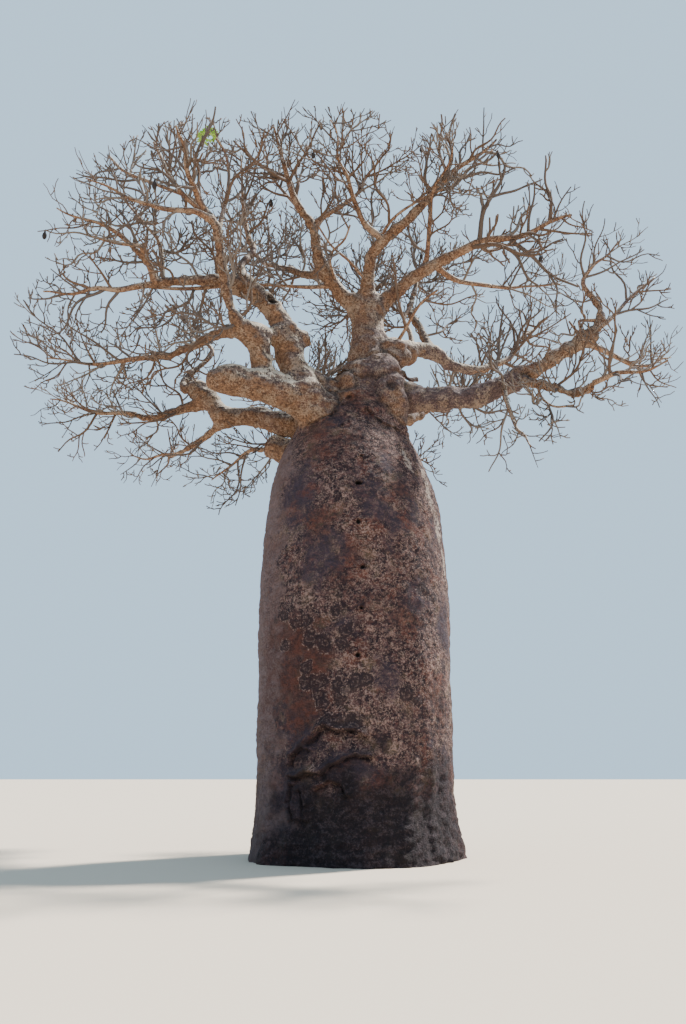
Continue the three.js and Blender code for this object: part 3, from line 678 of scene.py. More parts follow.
def ring_frames(points):
    """For lines of n points: two unit vectors square to the line at each point."""
    ahead = np.empty_like(points)
    ahead[:, 1:-1] = points[:, 2:] - points[:, :-2]
    ahead[:, 0] = points[:, 1] - points[:, 0]
    ahead[:, -1] = points[:, -1] - points[:, -2]
    ahead = unit(ahead)
    side = np.empty_like(points)
    side[:, 0] = square_to(ahead[:, 0])
    for i in range(1, points.shape[1]):
        drop = np.sum(side[:, i - 1] * ahead[:, i], axis=1, keepdims=True)
        side[:, i] = unit(side[:, i - 1] - drop * ahead[:, i])
    return side, np.cross(ahead, side)


class TubeStock:
    """Collects tubes with closed ends as vertices and faces of one mesh."""

    def __init__(self):
        self.vertices, self.faces, self.finish, self.used = [], [], [], 0

    def add(self, points, radii, sides, finish=(0,)):
        """Tubes along lines of n points with radii at each, in the finishes given for each line."""
        m, n = points.shape[:2]
        side, across = ring_frames(points)
        turn = np.arange(sides) * 2 * math.pi / sides
        ring = side[:, :, None] * np.cos(turn)[:, None] + across[:, :, None] * np.sin(turn)[:, None]
        self.vertices.append((points[:, :, None] + ring * radii[:, :, None, None]).reshape(-1, 3))
        k = np.arange(sides)
        j = (k + 1) % sides
        rows = np.arange(n - 1)[:, None] * sides
        walls = np.stack([rows + k, rows + j, rows + sides + j, rows + sides + k], axis=2).reshape(-1, 4)
        base = self.used + np.arange(m)[:, None, None] * n * sides
        self.faces += (walls[None] + base).reshape(-1, 4).tolist()
        caps = np.stack([k[::-1], k + (n - 1) * sides])
        self.faces += (caps[None] + base).reshape(-1, sides).tolist()
        self.finish += np.repeat(finish, len(walls)).tolist() + np.repeat(finish, 2).tolist()
        self.used += m * n * sides

    def grow(self, growth, sides, end_share, finish):
        """All lines of a generation, tapering to a share of their radius at the tip."""
        for n in np.unique(growth.counts):
            which = np.flatnonzero(growth.counts == n)
            fall = 1 - (1 - end_share) * np.linspace(0, 1, n)
            self.add(growth.points[which][:, :n], growth.radius[which, None] * fall, sides, finish[which])

    def triangles(self):
        return sum(len(face) - 2 for face in self.faces)

    def piece(self, name, materials):
        return mesh_piece(name, np.concatenate(self.vertices), self.faces, materials, self.finish)

# %% [markdown]
# ## Finishes
# Bark is not one colour. The trunk is mottled purple-brown with tan flakes, has a smooth grey strip
# down one side and rusty patches, and is almost black at the foot. Painting an image would give one
# view of it; mixing noise in the tree's own coordinates gives all sides the same bark.
# The sums are written as plain expressions on a small class that wraps a socket.

# %% Shader helpers
class Field:
    """A number or vector that changes over the surface: the output of a node, with arithmetic on it."""

    def __init__(self, finish, socket):
        self.finish, self.socket = finish, socket

    def math(self, operation, other, flipped=False):
        pair = (other, self) if flipped else (self, other)
        return self.finish.node("ShaderNodeMath", {"operation": operation}, {0: pair[0], 1: pair[1]})

    def __add__(self, other):
        return self.math("ADD", other)

    def __sub__(self, other):
        return self.math("SUBTRACT", other)

    def __rsub__(self, other):
        return self.math("SUBTRACT", other, flipped=True)

    def __mul__(self, other):
        return self.math("MULTIPLY", other)

    __radd__, __rmul__ = __add__, __mul__

    def clamped(self):
        return self.math("MINIMUM", 1.0)

    def away(self, middle):
        """How far it is from a value, up or down."""
        return (self - middle).math("ABSOLUTE", 0.0)

    def ramp(self, low, high):
        """0 below low, 1 above high, and smooth between; low may be above high."""
        return self.finish.node("ShaderNodeMapRange", {"interpolation_type": "SMOOTHSTEP"},
                                {"Value": self, "From Min": low, "From Max": high})


class Finish:
    """A material under construction."""

    def __init__(self, name, roughness=0.9, colour=(0.5, 0.5, 0.5)):
        self.material = bpy.data.materials.new(name)
        self.material.use_nodes = True
        self.tree = self.material.node_tree
        self.shader = self.tree.nodes["Principled BSDF"]
        self.shader.inputs["Roughness"].default_value = roughness
        self.shader.inputs["Specular IOR Level"].default_value = 0.25
        self.shader.inputs["Base Color"].default_value = (*colour, 1)
        self.material.diffuse_color = (*colour, 1)

    def node(self, kind, settings=None, inputs=None, output=0):
        made = self.tree.nodes.new(kind)
        for key, value in (settings or {}).items():
            setattr(made, key, value)
        for key, value in (inputs or {}).items():
            self.feed(made.inputs[key], value)
        return Field(self, made.outputs[output])

    def feed(self, socket, value):
        if isinstance(value, Field):
            self.tree.links.new(value.socket, socket)
        elif isinstance(value, tuple) and socket.type == "RGBA":
            socket.default_value = (*value, 1)
        else:
            socket.default_value = value

    def grain(self, scale, detail=4, stretch=(1, 1, 1), roughness=0.6):
        """Noise in the tree's own coordinates, scaled along each axis."""
        place = self.node("ShaderNodeTexCoord", output="Object")
        stretched = self.node("ShaderNodeMapping", inputs={"Vector": place, "Scale": Vector(stretch)})
        return self.node("ShaderNodeTexNoise", inputs={
            "Vector": stretched, "Scale": scale, "Detail": detail, "Roughness": roughness})

    def mark(self, name):
        """A mark painted on the mesh when its relief was made."""
        return self.node("ShaderNodeAttribute", {"attribute_name": name}, output="Fac")

    def mix(self, share, under, over):
        return self.node("ShaderNodeMix", {"data_type": "RGBA"}, {0: share, 6: under, 7: over}, output=2)

    def layered(self, colour, *coats):
        """A colour with coats over it, from the lowest up, each given as its share and its colour."""
        for share, coat in coats:
            colour = self.mix(share, colour, coat)
        return colour

    def dress(self, colour, height, depth):
        """Sets the changing colour, and a bump of the given depth in metres."""
        self.feed(self.shader.inputs["Base Color"], colour)
        bump = self.node("ShaderNodeBump", inputs={"Height": height, "Distance": depth, "Strength": 1.0})
        self.feed(self.shader.inputs["Normal"], bump)
        return self.material


# %% Bark of the trunk and the stout limbs
PURPLE_BLACK = (0.019, 0.010, 0.013)
PURPLE_BROWN = (0.092, 0.046, 0.043)
TAN_FLAKE = (0.305, 0.200, 0.168)
RUST, RED_BROWN = (0.105, 0.034, 0.023), (0.068, 0.029, 0.024)
SMOOTH_GREY, SMOOTH_BROWN = (0.140, 0.093, 0.091), (0.112, 0.066, 0.060)
LIMB_DARK, LIMB_ORANGE, LIMB_TAN = (0.090, 0.047, 0.031), (0.265, 0.146, 0.084), (0.34, 0.25, 0.18)
SIDE_DARK, SIDE_GREY = (0.050, 0.036, 0.034), (0.178, 0.129, 0.111)
DUSK_DARK, DUSK_LIGHT = (0.066, 0.044, 0.047), (0.130, 0.088, 0.088)
FOOT_BLACK, FOOT_GREY = (0.008, 0.005, 0.007), (0.044, 0.033, 0.038)
# the first is bleached bark with painted sunlight, for the limbs' tops; the second is painted sunlight, for
# patches on the trunk's right edge
BLEACHED_AND_SUNLIT, SUNLIT_PALE = (0.58, 0.49, 0.39), (0.34, 0.27, 0.23)
OLIVE_BROWN, DUSKY_PURPLE = (0.115, 0.078, 0.046), (0.042, 0.030, 0.044)
ROSETTE_DARK = (0.024, 0.014, 0.017)
# the black of painted shade in cracks, holes, knot holes and creases
RECESS_SHADE_BLACK = (0.006, 0.005, 0.005)


def limb_colours(bark, speck, patch):
    """Flecked orange-brown underneath, grey-brown on the sides and pale on top, with tan specks. The pale
    tops are partly bleached bark and partly painted sunlight; the warm undersides and grey sides are partly
    painted bounce light and shade.
    """
    fleck = bark.grain(14.0, 4, roughness=0.65)
    blotch = bark.grain(3.2, 3)
    facing = bark.mark("bleached_and_sunlit") + (fleck + blotch - 1) * 0.6 + (speck - 0.5) * 0.3
    grit = fleck * 0.45 + speck * 0.55
    # Warm undersides and grey sides: partly real bark colour, partly painted bounce light and shade
    under = bark.mix(grit.ramp(0.41, 0.57), LIMB_DARK, LIMB_ORANGE)
    side = bark.mix(grit.ramp(0.41, 0.56), SIDE_DARK, SIDE_GREY)
    dusk = bark.mix(grit.ramp(0.40, 0.58), DUSK_DARK, DUSK_LIGHT)
    return bark.layered(
        bark.mix(facing.ramp(0.14, 0.42), under, side),
        (patch.ramp(0.52, 0.72) * 0.5, PURPLE_BROWN),
        (bark.mark("dusky") * 0.9, dusk),
        ((speck + fleck * 0.4 + blotch - 0.5).ramp(0.70, 0.84) * 0.6, LIMB_TAN),
        # Pale sunward tops: bleached bark with painted sunlight
        ((facing + (speck - 0.5) * 0.6).ramp(0.63, 0.82) * 0.95, BLEACHED_AND_SUNLIT))


def trunk_finish():
    bark = Finish("mottled_trunk_bark")
    fleck = bark.grain(9.0, 5, (1, 1, 1.2), 0.65)
    speck = bark.grain(30.0, 3, roughness=0.7)
    curl = bark.grain(8.5, 3, (1, 1, 1.2))
    tint = bark.grain(2.6, 4)
    patch = bark.grain(1.0, 4)
    rusty = bark.grain(1.7, 5, (1, 1, 1.3))
    streak = bark.grain(5.0, 4, (0.3, 0.3, 1.8))
    limb, rust_mark, rosette_mark = bark.mark("limb"), bark.mark("rust"), bark.mark("rosette")
    near_rust = rust_mark.ramp(0.0, 0.3)
    shady = (bark.mark("shady") + (patch - 0.5) * 1.6 + (fleck - 0.5) * 1.2).ramp(0.3, 0.9)
    strip = (bark.mark("strip") + fleck * 0.9 - 0.45).ramp(0.2, 0.85)
    smooth = bark.mix((streak + speck * 0.5 + tint).ramp(1.12, 1.36), SMOOTH_GREY, SMOOTH_BROWN)
    reddish = (rust_mark + (fleck - 0.5) * 1.6 + (speck - 0.5) * 0.8).ramp(0.2, 0.7)
    spots = rusty.ramp(0.51, 0.66) * fleck.ramp(0.35, 0.55)
    rust = (rust_mark * 0.5 + (fleck - 0.5) * 2.2 + (streak - 0.5)).ramp(0.25, 0.75)
    rust = (rust * near_rust + spots).clamped() * (1 - strip * 0.8)
    foot = (bark.mark("foot") + fleck * 0.5 - 0.25).ramp(0.05, 0.9)
    blackened = bark.mix((fleck * 0.6 + speck * 0.7 + streak * 0.4).ramp(0.80, 1.04), FOOT_BLACK, FOOT_GREY)
    worn = strip * 0.85 + rust_mark * 1.2 + rosette_mark * 0.9 + foot * 1.5
    light = (1 - patch.ramp(0.46, 0.64) * 0.8) * (1 - worn.clamped()) * (1 - shady * 0.65)
    curls = curl.away(0.5).ramp(0.05, 0.01) * speck.ramp(0.40, 0.54)
    flecks = (speck * 0.85 + fleck * 0.7 + tint * 0.35).ramp(0.98, 1.09)
    rosette = rosette_mark + fleck * 0.8 - 0.4
    rim = rosette.away(0.3).ramp(0.18, 0.04) * speck.ramp(0.49, 0.58) * rosette_mark.ramp(0.02, 0.2)
    core = rosette.away(0.85).ramp(0.14, 0.0) * speck.ramp(0.45, 0.58)
    pale = (bark.mark("pale") * 0.4 + fleck * 1.6 + speck - 1.2).ramp(0.26, 0.44)
    colour = bark.layered(
        bark.mix(fleck.ramp(0.41, 0.62), PURPLE_BLACK, PURPLE_BROWN),
        (tint.ramp(0.52, 0.68) * 0.55, OLIVE_BROWN),
        (patch.ramp(0.50, 0.66) * 0.6, DUSKY_PURPLE),
        (shady * 0.55, DUSKY_PURPLE),
        (strip * 0.85, smooth),
        (reddish * near_rust * 0.7, RED_BROWN),
        (rust * 0.75, RUST),
        (curls * light * 0.85, TAN_FLAKE),
        (flecks * light * 0.8, TAN_FLAKE),
        (rosette.ramp(0.15, 0.5) * 0.8, ROSETTE_DARK),
        ((rim * 0.7 + core * 0.4).clamped(), TAN_FLAKE),
        (limb, limb_colours(bark, speck, patch)),
        (foot * 0.9, blackened),
        # painted sunlit patches on the trunk's right edge
        (pale * bark.mark("pale").ramp(0.0, 0.2), SUNLIT_PALE),
        # painted shade in cracks and under their lips, in holes and knot holes, and in the neck's creases
        (bark.mark("recess_shade"), RECESS_SHADE_BLACK))
    rough = fleck * (1 - strip * 0.7) + speck * 0.45 + streak * limb * 0.8 + curls * 0.3
    return bark.dress(colour, rough, 0.05)


def slim_finish():
    bark = Finish("slim_limb_bark")
    fleck = bark.grain(18.0, 4, roughness=0.65)
    speck = bark.grain(32.0, 3)
    colour = limb_colours(bark, speck, bark.grain(2.0, 3))
    return bark.dress(colour, fleck + speck * 0.35, 0.02)


trunk_bark = trunk_finish()
slim_bark = slim_finish()
twig_barks = [
    Finish("twig_grey", colour=(0.105, 0.080, 0.068)).material,
    Finish("twig_brown", colour=(0.120, 0.076, 0.053)).material,
    Finish("twig_ash", colour=(0.160, 0.128, 0.108)).material]
fruit_skin = Finish("dried_fruit", 0.8, (0.028, 0.020, 0.018)).material
leaf_green = Finish("fresh_leaf", 0.55, (0.33, 0.56, 0.10)).material
print(len(bpy.data.materials), "finishes")

# %% [markdown]
# ## One bark over trunk and limbs
# On the tree the bark runs without a break from the barrel of the trunk out along the limbs, with a
# swollen collar wherever a limb leaves. Separate tubes pushed into each other would show hard seams.
# So the trunk is lofted ring by ring, each stout limb is a bevelled curve made into a mesh, and a voxel
# remesh melts them into one closed skin, which is then drawn on to a soft union of the limbs.

# %% Loft the trunk
SKIN_ROOT = 0.2  # limbs at least this thick at their root share the trunk's skin
BURIED = 0.4  # depth below the ground to which the trunk is lofted before its flat cut
TRUNK_SIDES = 64
TRUNK_STEP = 0.35
LIMB_STEP = 0.12
VOXEL = 0.055

# Short snags and swellings on the trunk and limbs, in the form of the limbs' rows.
SNAGS = {
    "upright_root": ("left_upright", 0.22, 0.50, 0.44, [(0.2, 61, -56), (0.85, 60, -67)]),
    "gall": ("left_great", 0.62, 0.42, 0.3, [(0.34, 22, -6), (0.22, 10, 14)]),
    "low_swelling": ("trunk", 8.5, 0.72, 0.5, [(1.5, 162, 14), (0.6, 160, 24)]),
    "great_root": ("trunk", 9.3, 1.5, 0.3, [
        (1.0, -131, -2), (0.56, -133, 42), (0.57, -160, 60), (0.58, 168, 75)]),
    "right_snag": ("trunk", 10.7, 0.30, 0.09, [(0.8, 8, 2), (0.25, -10, -34), (0.25, 24, 16)]),
    "hanging_knob": ("right_middle", 0.2, 0.24, 0.08, [(0.3, -80, -66), (0.22, -20, -50)]),
    "hanging_spur": ("right_middle", 0.3, 0.18, 0.06, [(0.28, -100, -58), (0.2, -160, -30)]),
    "right_shoulder": ("trunk", 11.15, 0.84, 0.44, [(0.62, -7, 4), (0.5, 50, 25)]),
    "burl_left": ("trunk", 10.0, 0.50, 0.34, [(0.76, -108, -11), (0.39, 138, 76)]),
    "burl_middle": ("trunk", 10.45, 0.86, 0.74, [(0.42, -114, -4), (0.58, 0, 15)]),
    "burl_right": ("trunk", 9.7, 1.0, 0.78, [(0.78, -28, -24), (0.39, -52, 56), (0.40, 109, 77)]),
    "right_collar": ("trunk", 9.95, 0.9, 0.56, [(1.2, -10, 2)]),
}
add_limbs(SNAGS)
skin_limbs = [name for name, limb in limbs.items() if limb.root >= SKIN_ROOT]


def lone(piece):
    """Selects one object and nothing else."""
    bpy.ops.object.select_all(action="DESELECT")
    piece.select_set(True)
    bpy.context.view_layer.objects.active = piece


@contextmanager
def edit_mode():
    bpy.ops.object.mode_set(mode="EDIT")
    yield
    bpy.ops.object.mode_set(mode="OBJECT")


def choose_faces(piece, chosen):
    """Selects faces for the next time in edit mode, by a true or false for each."""
    lone(piece)
    with edit_mode():
        bpy.ops.mesh.select_mode(type="FACE")
        bpy.ops.mesh.select_all(action="DESELECT")
    piece.data.polygons.foreach_set("select", chosen)


def modify(piece, kind, **settings):
    """Adds a modifier to a piece and applies it."""
    lone(piece)
    bpy.ops.object.modifier_add(type=kind)
    modifier = piece.modifiers[-1]
    for key, value in settings.items():
        setattr(modifier, key, value)
    bpy.ops.object.modifier_apply(modifier=modifier.name)


def loft_trunk():
    bpy.ops.object.select_all(action="DESELECT")
    heights = np.arange(-BURIED, GIRTHS[-1][0] + TRUNK_STEP / 2, TRUNK_STEP)
    x, y, radius = trunk_at(heights)
    bpy.ops.mesh.primitive_circle_add(
        vertices=TRUNK_SIDES, radius=radius[0], location=(x[0], y[0], heights[0]), fill_type="NGON")
    with edit_mode():
        for i in range(1, len(heights)):
            step = (x[i] - x[i - 1], y[i] - y[i - 1], TRUNK_STEP)
            bpy.ops.mesh.extrude_region_move(TRANSFORM_OT_translate={"value": step})
            scale = radius[i] / radius[i - 1]
            bpy.ops.transform.resize(value=(scale, scale, 1), center_override=(x[i], y[i], heights[i]))
        bpy.ops.mesh.select_all(action="SELECT")
        bpy.ops.mesh.normals_make_consistent(inside=False)
    return bpy.context.object


def bevel_limb(name):
    """A limb as a curve with a round bevel, converted to a mesh."""
    places, radii = limbs[name].line(LIMB_STEP)
    curve = bpy.data.curves.new(name, "CURVE")
    curve.dimensions = "3D"
    curve.bevel_depth = 1.0
    curve.bevel_resolution = 4
    curve.use_fill_caps = True
    spline = curve.splines.new("POLY")
    spline.points.add(len(places) - 1)
    spline.points.foreach_set("co", np.column_stack([places, np.ones(len(places))]).ravel())
    spline.points.foreach_set("radius", radii)
    lone(placed(name, curve))
    bpy.ops.object.convert(target="MESH")
    return bpy.context.object


skin = loft_trunk()
skin.name = "bark_skin"
parts = [bevel_limb(name) for name in skin_limbs]
lone(skin)
for part in parts:
    part.select_set(True)
bpy.ops.object.join()
bpy.ops.object.transform_apply(location=True, rotation=True, scale=True)
modify(skin, "REMESH", mode="VOXEL", voxel_size=VOXEL)
print("skin of", len(skin.data.polygons), "faces over the trunk and", len(parts), "limbs")

# %% [markdown]
# ## Places on the bark
# The holes up the front, the cracks over the foot and the rosettes of old bark are not alike, so each
# has its own place on the trunk, as a height and a bearing. The skin is divided more finely round the
# holes and cracks.

# %% Holes, cracks and patches
# Old peg holes and knots: height, bearing, half their width and height, depth.
HOLES = [
    (8.81, -97, 0.035, 0.030, 0.05), (7.99, -83, 0.060, 0.030, 0.06), (7.33, -87, 0.090, 0.045, 0.14),
    (6.47, -88, 0.055, 0.055, 0.06), (5.53, -86, 0.055, 0.050, 0.06), (4.71, -87, 0.040, 0.035, 0.08),
    (3.80, -89, 0.060, 0.055, 0.08)]
# Folds of bark over the foot: height and bearing along each crack, and its depth.
CRACKS = [
    ([(2.18, -117), (2.42, -109.5), (2.47, -106), (2.36, -101), (2.36, -96), (2.37, -92), (2.28, -87)], 0.14),
    ([(1.78, -127.5), (1.92, -127), (2.02, -124), (2.09, -120.5), (2.05, -116.5)], 0.09),
    ([(1.54, -127), (1.60, -117.5), (1.60, -109), (1.75, -103), (1.84, -97), (1.96, -91), (1.9, -84)], 0.13),
    ([(1.40, -127), (1.12, -128.5), (0.82, -126)], 0.09),
    ([(1.30, -121), (1.04, -119.5), (0.80, -119.5)], 0.09),
    ([(1.35, -112), (1.45, -106), (1.38, -99), (1.20, -95)], 0.08),
    ([(9.30, -72), (9.10, -62), (8.97, -57), (8.90, -48), (8.92, -36)], 0.05),
    ([(9.20, -140), (8.98, -128), (9.00, -114), (9.30, -103), (9.70, -98)], 0.05)]
# Patches of other bark: height, bearing, half its height, half its width in degrees.
ROSETTES = [
    (4.14, -116, 0.19, 5), (4.04, -108, 0.19, 5), (3.62, -118, 0.12, 4), (3.32, -120, 0.14, 4),
    (3.31, -114, 0.16, 5), (3.33, -109, 0.14, 4), (3.07, -110, 0.13, 4), (2.89, -109, 0.12, 4),
    (4.02, -97, 0.16, 4), (4.27, -95, 0.16, 4), (4.65, -101, 0.16, 4), (4.62, -133, 0.12, 4),
    (4.04, -134, 0.12, 4), (2.56, -106, 0.19, 5), (2.58, -101, 0.14, 4), (3.00, -99, 0.16, 4),
    (3.24, -100, 0.13, 4), (3.29, -90, 0.19, 5), (3.35, -85, 0.16, 4), (2.52, -92, 0.18, 5),
    (4.50, -118, 0.14, 4), (4.45, -125, 0.13, 4), (5.20, -48, 0.18, 5), (5.05, -40, 0.14, 4),
    (3.10, -62, 0.17, 5), (2.95, -54, 0.14, 4), (3.70, -28, 0.18, 5), (4.60, 30, 0.18, 5),
    (4.45, 40, 0.15, 4), (3.50, 62, 0.19, 5), (3.30, 70, 0.15, 4), (5.80, 85, 0.17, 5),
    (5.60, 94, 0.14, 4), (2.70, 20, 0.16, 5), (6.60, 10, 0.15, 4)]
RUSTY = [
    (4.15, -124, 0.50, 20), (3.80, -113, 0.50, 12), (3.35, -128, 0.65, 15), (2.75, -120, 0.50, 14),
    (3.40, -112, 0.50, 10)]
FAINT_RUST = [
    (8.15, -112, 0.45, 20), (8.50, -95, 0.35, 18), (5.78, -92, 0.40, 10), (5.27, -99, 0.50, 10),
    (4.85, -80, 0.30, 12), (7.30, -60, 0.35, 10), (4.50, -60, 0.40, 14), (6.50, -110, 0.50, 16),
    (3.60, -145, 1.50, 16), (8.75, -118, 0.50, 30), (9.55, -95, 0.45, 40), (3.00, -35, 0.60, 14),
    (4.00, 45, 0.70, 16), (6.20, 70, 0.60, 14), (7.60, 20, 0.50, 16)]
SHADY = [
    (7.00, -126, 1.30, 20), (5.60, -112, 0.60, 12), (3.40, -72, 0.60, 12), (4.60, -25, 0.80, 14),
    (6.80, 40, 1.10, 18), (3.20, 80, 0.80, 16), (8.20, 90, 0.60, 25), (2.15, -114, 0.35, 14),
    (1.85, -100, 0.45, 16)]
# Patches of painted sunlight on the trunk's right edge, in the same columns.
SUNLIT_PATCHES = [
    (8.08, -46, 0.30, 4), (7.45, -30, 0.45, 5), (6.60, -25, 0.40, 5), (5.90, -20, 0.35, 4),
    (7.90, -29, 0.15, 6)]
# Knot holes: the limb, the share along it, the bearing and rise of the mouth, its half width and its depth.
KNOTHOLES = [("left_great", 0.80, -60, 25, 0.15, 0.2), ("burl_right", 0.88, -85, 10, 0.13, 0.05)]
# Runs of limb and neck that keep some of the trunk's purple: two ends and a reach.
NECK_RUN = ((0.5, -0.5, 9.3), (0.5, -0.5, 10.9), 1.25)
DUSKY_RUNS = [
    ((0.6, -0.1, 10.1), (3.2, -0.75, 9.8), 0.85), ((0.4, 0.0, 11.4), (2.8, 1.8, 11.7), 0.5),
    ((0.5, -0.9, 9.9), (0.7, -0.9, 10.6), 0.55)]
FOOT_TOP = 2.8
FULL_PATCH = 1.3  # how far out a patch reaches, over its own half sizes
CRACK_MARGIN, HOLE_REACH, HOLE_MARGIN, CUTS = 0.10, 2.2, 0.06, 2  # where and how finely the skin is divided
STRIP_MIDDLE, STRIP_HALF, STRIP_TOP = -180, 43, 9.0  # bearing and half width of the smooth strip, and its top


def on_trunk(height, bearing):
    x, y, radius = trunk_at(height)
    b = math.radians(bearing)
    return np.array([x + radius * math.cos(b), y + radius * math.sin(b), height])


def bark_places(points):
    """Height, bearing in degrees and girth radius of the trunk at each point."""
    x, y, radius = trunk_at(points[:, 2])
    bearing = np.degrees(np.arctan2(points[:, 1] - y, points[:, 0] - x))
    return points[:, 2], bearing, radius


def bearing_gap(bearing, middle):
    return (bearing - middle + 180) % 360 - 180


def blobs(points, rows):
    """1 in the middle of any patch and 0 outside them all."""
    height, bearing, _ = bark_places(points)
    mask = np.zeros(len(points))
    for h, b, tall, wide in rows:
        away = np.hypot((height - h) / tall, bearing_gap(bearing, b) / wide)
        mask = np.maximum(mask, np.clip(FULL_PATCH - away, 0, 1))
    return mask


def gap_to_path(points, corners):
    """Distance from each point to a path of straight runs, and the way out of it."""
    return gap_to(points, segments_of([(np.array(corners), np.zeros(len(corners)))]))


def crack_gaps(points, path):
    """How far each point lies from a crack, and how far above it."""
    gap, out = gap_to_path(points, [on_trunk(h, b) for h, b in path])
    return gap, gap * out[:, 2]


def read_out(items, what):
    """A vector of every vertex or face, as the rows of one array."""
    values = np.empty(len(items) * 3)
    items.foreach_get(what, values)
    return values.reshape(-1, 3)


def near_details(points):
    """Whether each point is near a crack or a hole."""
    cracks = [crack_gaps(points, path)[0] < CRACK_MARGIN for path, _ in CRACKS]
    holes = [np.linalg.norm(points - on_trunk(h, b), axis=1) < HOLE_REACH * max(wide, tall) + HOLE_MARGIN
             for h, b, wide, tall, _ in HOLES]
    return np.any(cracks + holes, axis=0)


near_faces = near_details(read_out(skin.data.polygons, "center"))
choose_faces(skin, near_faces)
with edit_mode():
    bpy.ops.mesh.subdivide(number_cuts=CUTS)
print("divided", int(near_faces.sum()), "faces")

# %% Draw the skin on to a soft union
BLEND = 0.105  # how softly limbs melt into each other
NEAR = 0.7  # a limb further away than this is not felt
NECK_HEIGHTS = (8.4, 9.2, 11, 12)  # limbs crowd here: where it starts, is full, fades and ends
NECK_SIDE = (-1.0, -0.6)  # and from which X on
DRAWS, LONGEST_DRAW = 3, 0.2  # how often and how far at a time the skin is drawn on to the union
FOOT_LOBES, LOBE_DEPTH, LOBE_HEIGHT = 5, 0.035, 0.9  # lobes round the foot, which fade over this height
GNARL_SIZE, GNARL, NECK_GNARL = 0.42, 0.01, 0.085  # how the points are pushed, and how much more at the neck


def gap_to_trunk(points):
    height, bearing, radius = bark_places(np.minimum(points, [np.inf, np.inf, GIRTHS[-1][0]]))
    x, y, _ = trunk_at(height)
    away = points - np.column_stack([x, y, height])
    size = np.maximum(np.linalg.norm(away, axis=1), 1e-6)
    swell = LOBE_DEPTH * np.exp(-np.maximum(height, 0) / LOBE_HEIGHT)
    lobes = 1 + swell * np.cos(np.radians(FOOT_LOBES * bearing))
    return size - radius * lobes, away / size[:, None]


skin_lines = [limbs[name].line(LIMB_STEP * 2) for name in skin_limbs]


def lumps(points, size, octaves=3, stretch=(1, 1, 1)):
    """Smooth noise between about -1 and 1, with swellings of about the given size in metres."""
    scaled = points / (size * np.array(stretch))
    return np.array([noise.fractal(Vector(p), 0.8, 2.0, octaves) for p in scaled])


def smooth_step(values, low, high):
    t = np.clip((values - low) / (high - low), 0, 1)
    return t * t * (3 - 2 * t)


def shaken(points, size, reach):
    """The points pushed about, so that what is measured from them gets a ragged edge."""
    return points + reach * np.column_stack([lumps(points + shift, size, 2) for shift in (0, 5, 9)])


def level_band(heights, start, full, fading, end):
    """1 between two heights, with a smooth fall to 0 below and above them."""
    return smooth_step(heights, start, full) * smooth_step(-heights, -end, -fading)


def knot_of_neck(points):
    """1 where limbs crowd out of the neck and press creases between them, 0 elsewhere."""
    return level_band(points[:, 2], *NECK_HEIGHTS) * smooth_step(points[:, 0], *NECK_SIDE)


def soft_union(points):
    """For each point: the gap to the soft union of trunk and limbs, the way out of it, the limbs' share,
    the gap to the trunk alone, and how much further off the second nearest of them all is."""
    trunk_gap, trunk_out = gap_to_trunk(points)
    felt = [(np.arange(len(points)), trunk_gap, trunk_out)]
    for line in skin_lines:
        low = line[0].min(axis=0) - line[1].max() - NEAR
        high = line[0].max(axis=0) + line[1].max() + NEAR
        which = np.flatnonzero(np.all((points > low) & (points < high), axis=1))
        felt.append((which, *gap_to(points[which], segments_of([line]))))
    least, second = np.full(len(points), np.inf), np.full(len(points), np.inf)
    for which, gap, _ in felt:
        second[which] = np.minimum(second[which], np.maximum(least[which], gap))
        least[which] = np.minimum(least[which], gap)
    total = np.zeros(len(points))
    way = np.zeros((len(points), 3))
    for which, gap, out in felt:
        weight = np.exp(-(gap - least[which]) / BLEND)
        total[which] += weight
        way[which] += weight[:, None] * out
    limb_share = 1 - np.exp(-(trunk_gap - least) / BLEND) / total
    return least - BLEND * np.log(total), unit(way), limb_share, trunk_gap, second - least


def ragged_union(points):
    """The soft union of pushed points, which is gnarled where the limbs crowd together."""
    return soft_union(shaken(points, GNARL_SIZE, GNARL + NECK_GNARL * knot_of_neck(points)[:, None]))


BLUNT_LIMB, NOSE, DROOP = "left_stub", 0.55, 0.12  # a limb that ends in a blunt nose, its length and fall
BLUNTNESS = 0.93  # share of the tip's area that the rounding takes off


def blunted(points):
    """The points with the sawn end of the blunt limb drawn in to a nose."""
    before, tip = limbs[BLUNT_LIMB].places([0.95, 1])
    heading = unit(tip - before)
    along = (points - tip) @ heading
    away = points - tip - along[:, None] * heading
    share = np.clip(1 + along / NOSE, 0, 1) * (np.linalg.norm(points - tip, axis=1) < 2 * NOSE)
    drawn_in = away * (np.sqrt(1 - BLUNTNESS * share ** 2) - 1)[:, None]
    return points + drawn_in - UP * (DROOP * share ** 2)[:, None]


at = read_out(skin.data.vertices, "co")
for _ in range(DRAWS):
    gap, way, limb_share, trunk_gap, lead = ragged_union(at)
    at -= way * np.clip(gap, -LONGEST_DRAW, LONGEST_DRAW)[:, None]
at = blunted(at)
furthest = float(np.abs(gap[at[:, 2] > 0.1]).max())
print("above ground the skin lay within", round(furthest, 3), "m of the soft union")

# %% [markdown]
# ## Relief of the bark
# The barrel has broad swellings and flat flakes, its foot is fluted and cracked, and rings of wrinkles
# sit on the limbs' collars. A Displace modifier could give the swellings, but not the folds, which have
# a raised lip on one side. So the skin's points are pushed in and out along the way out of the wood.

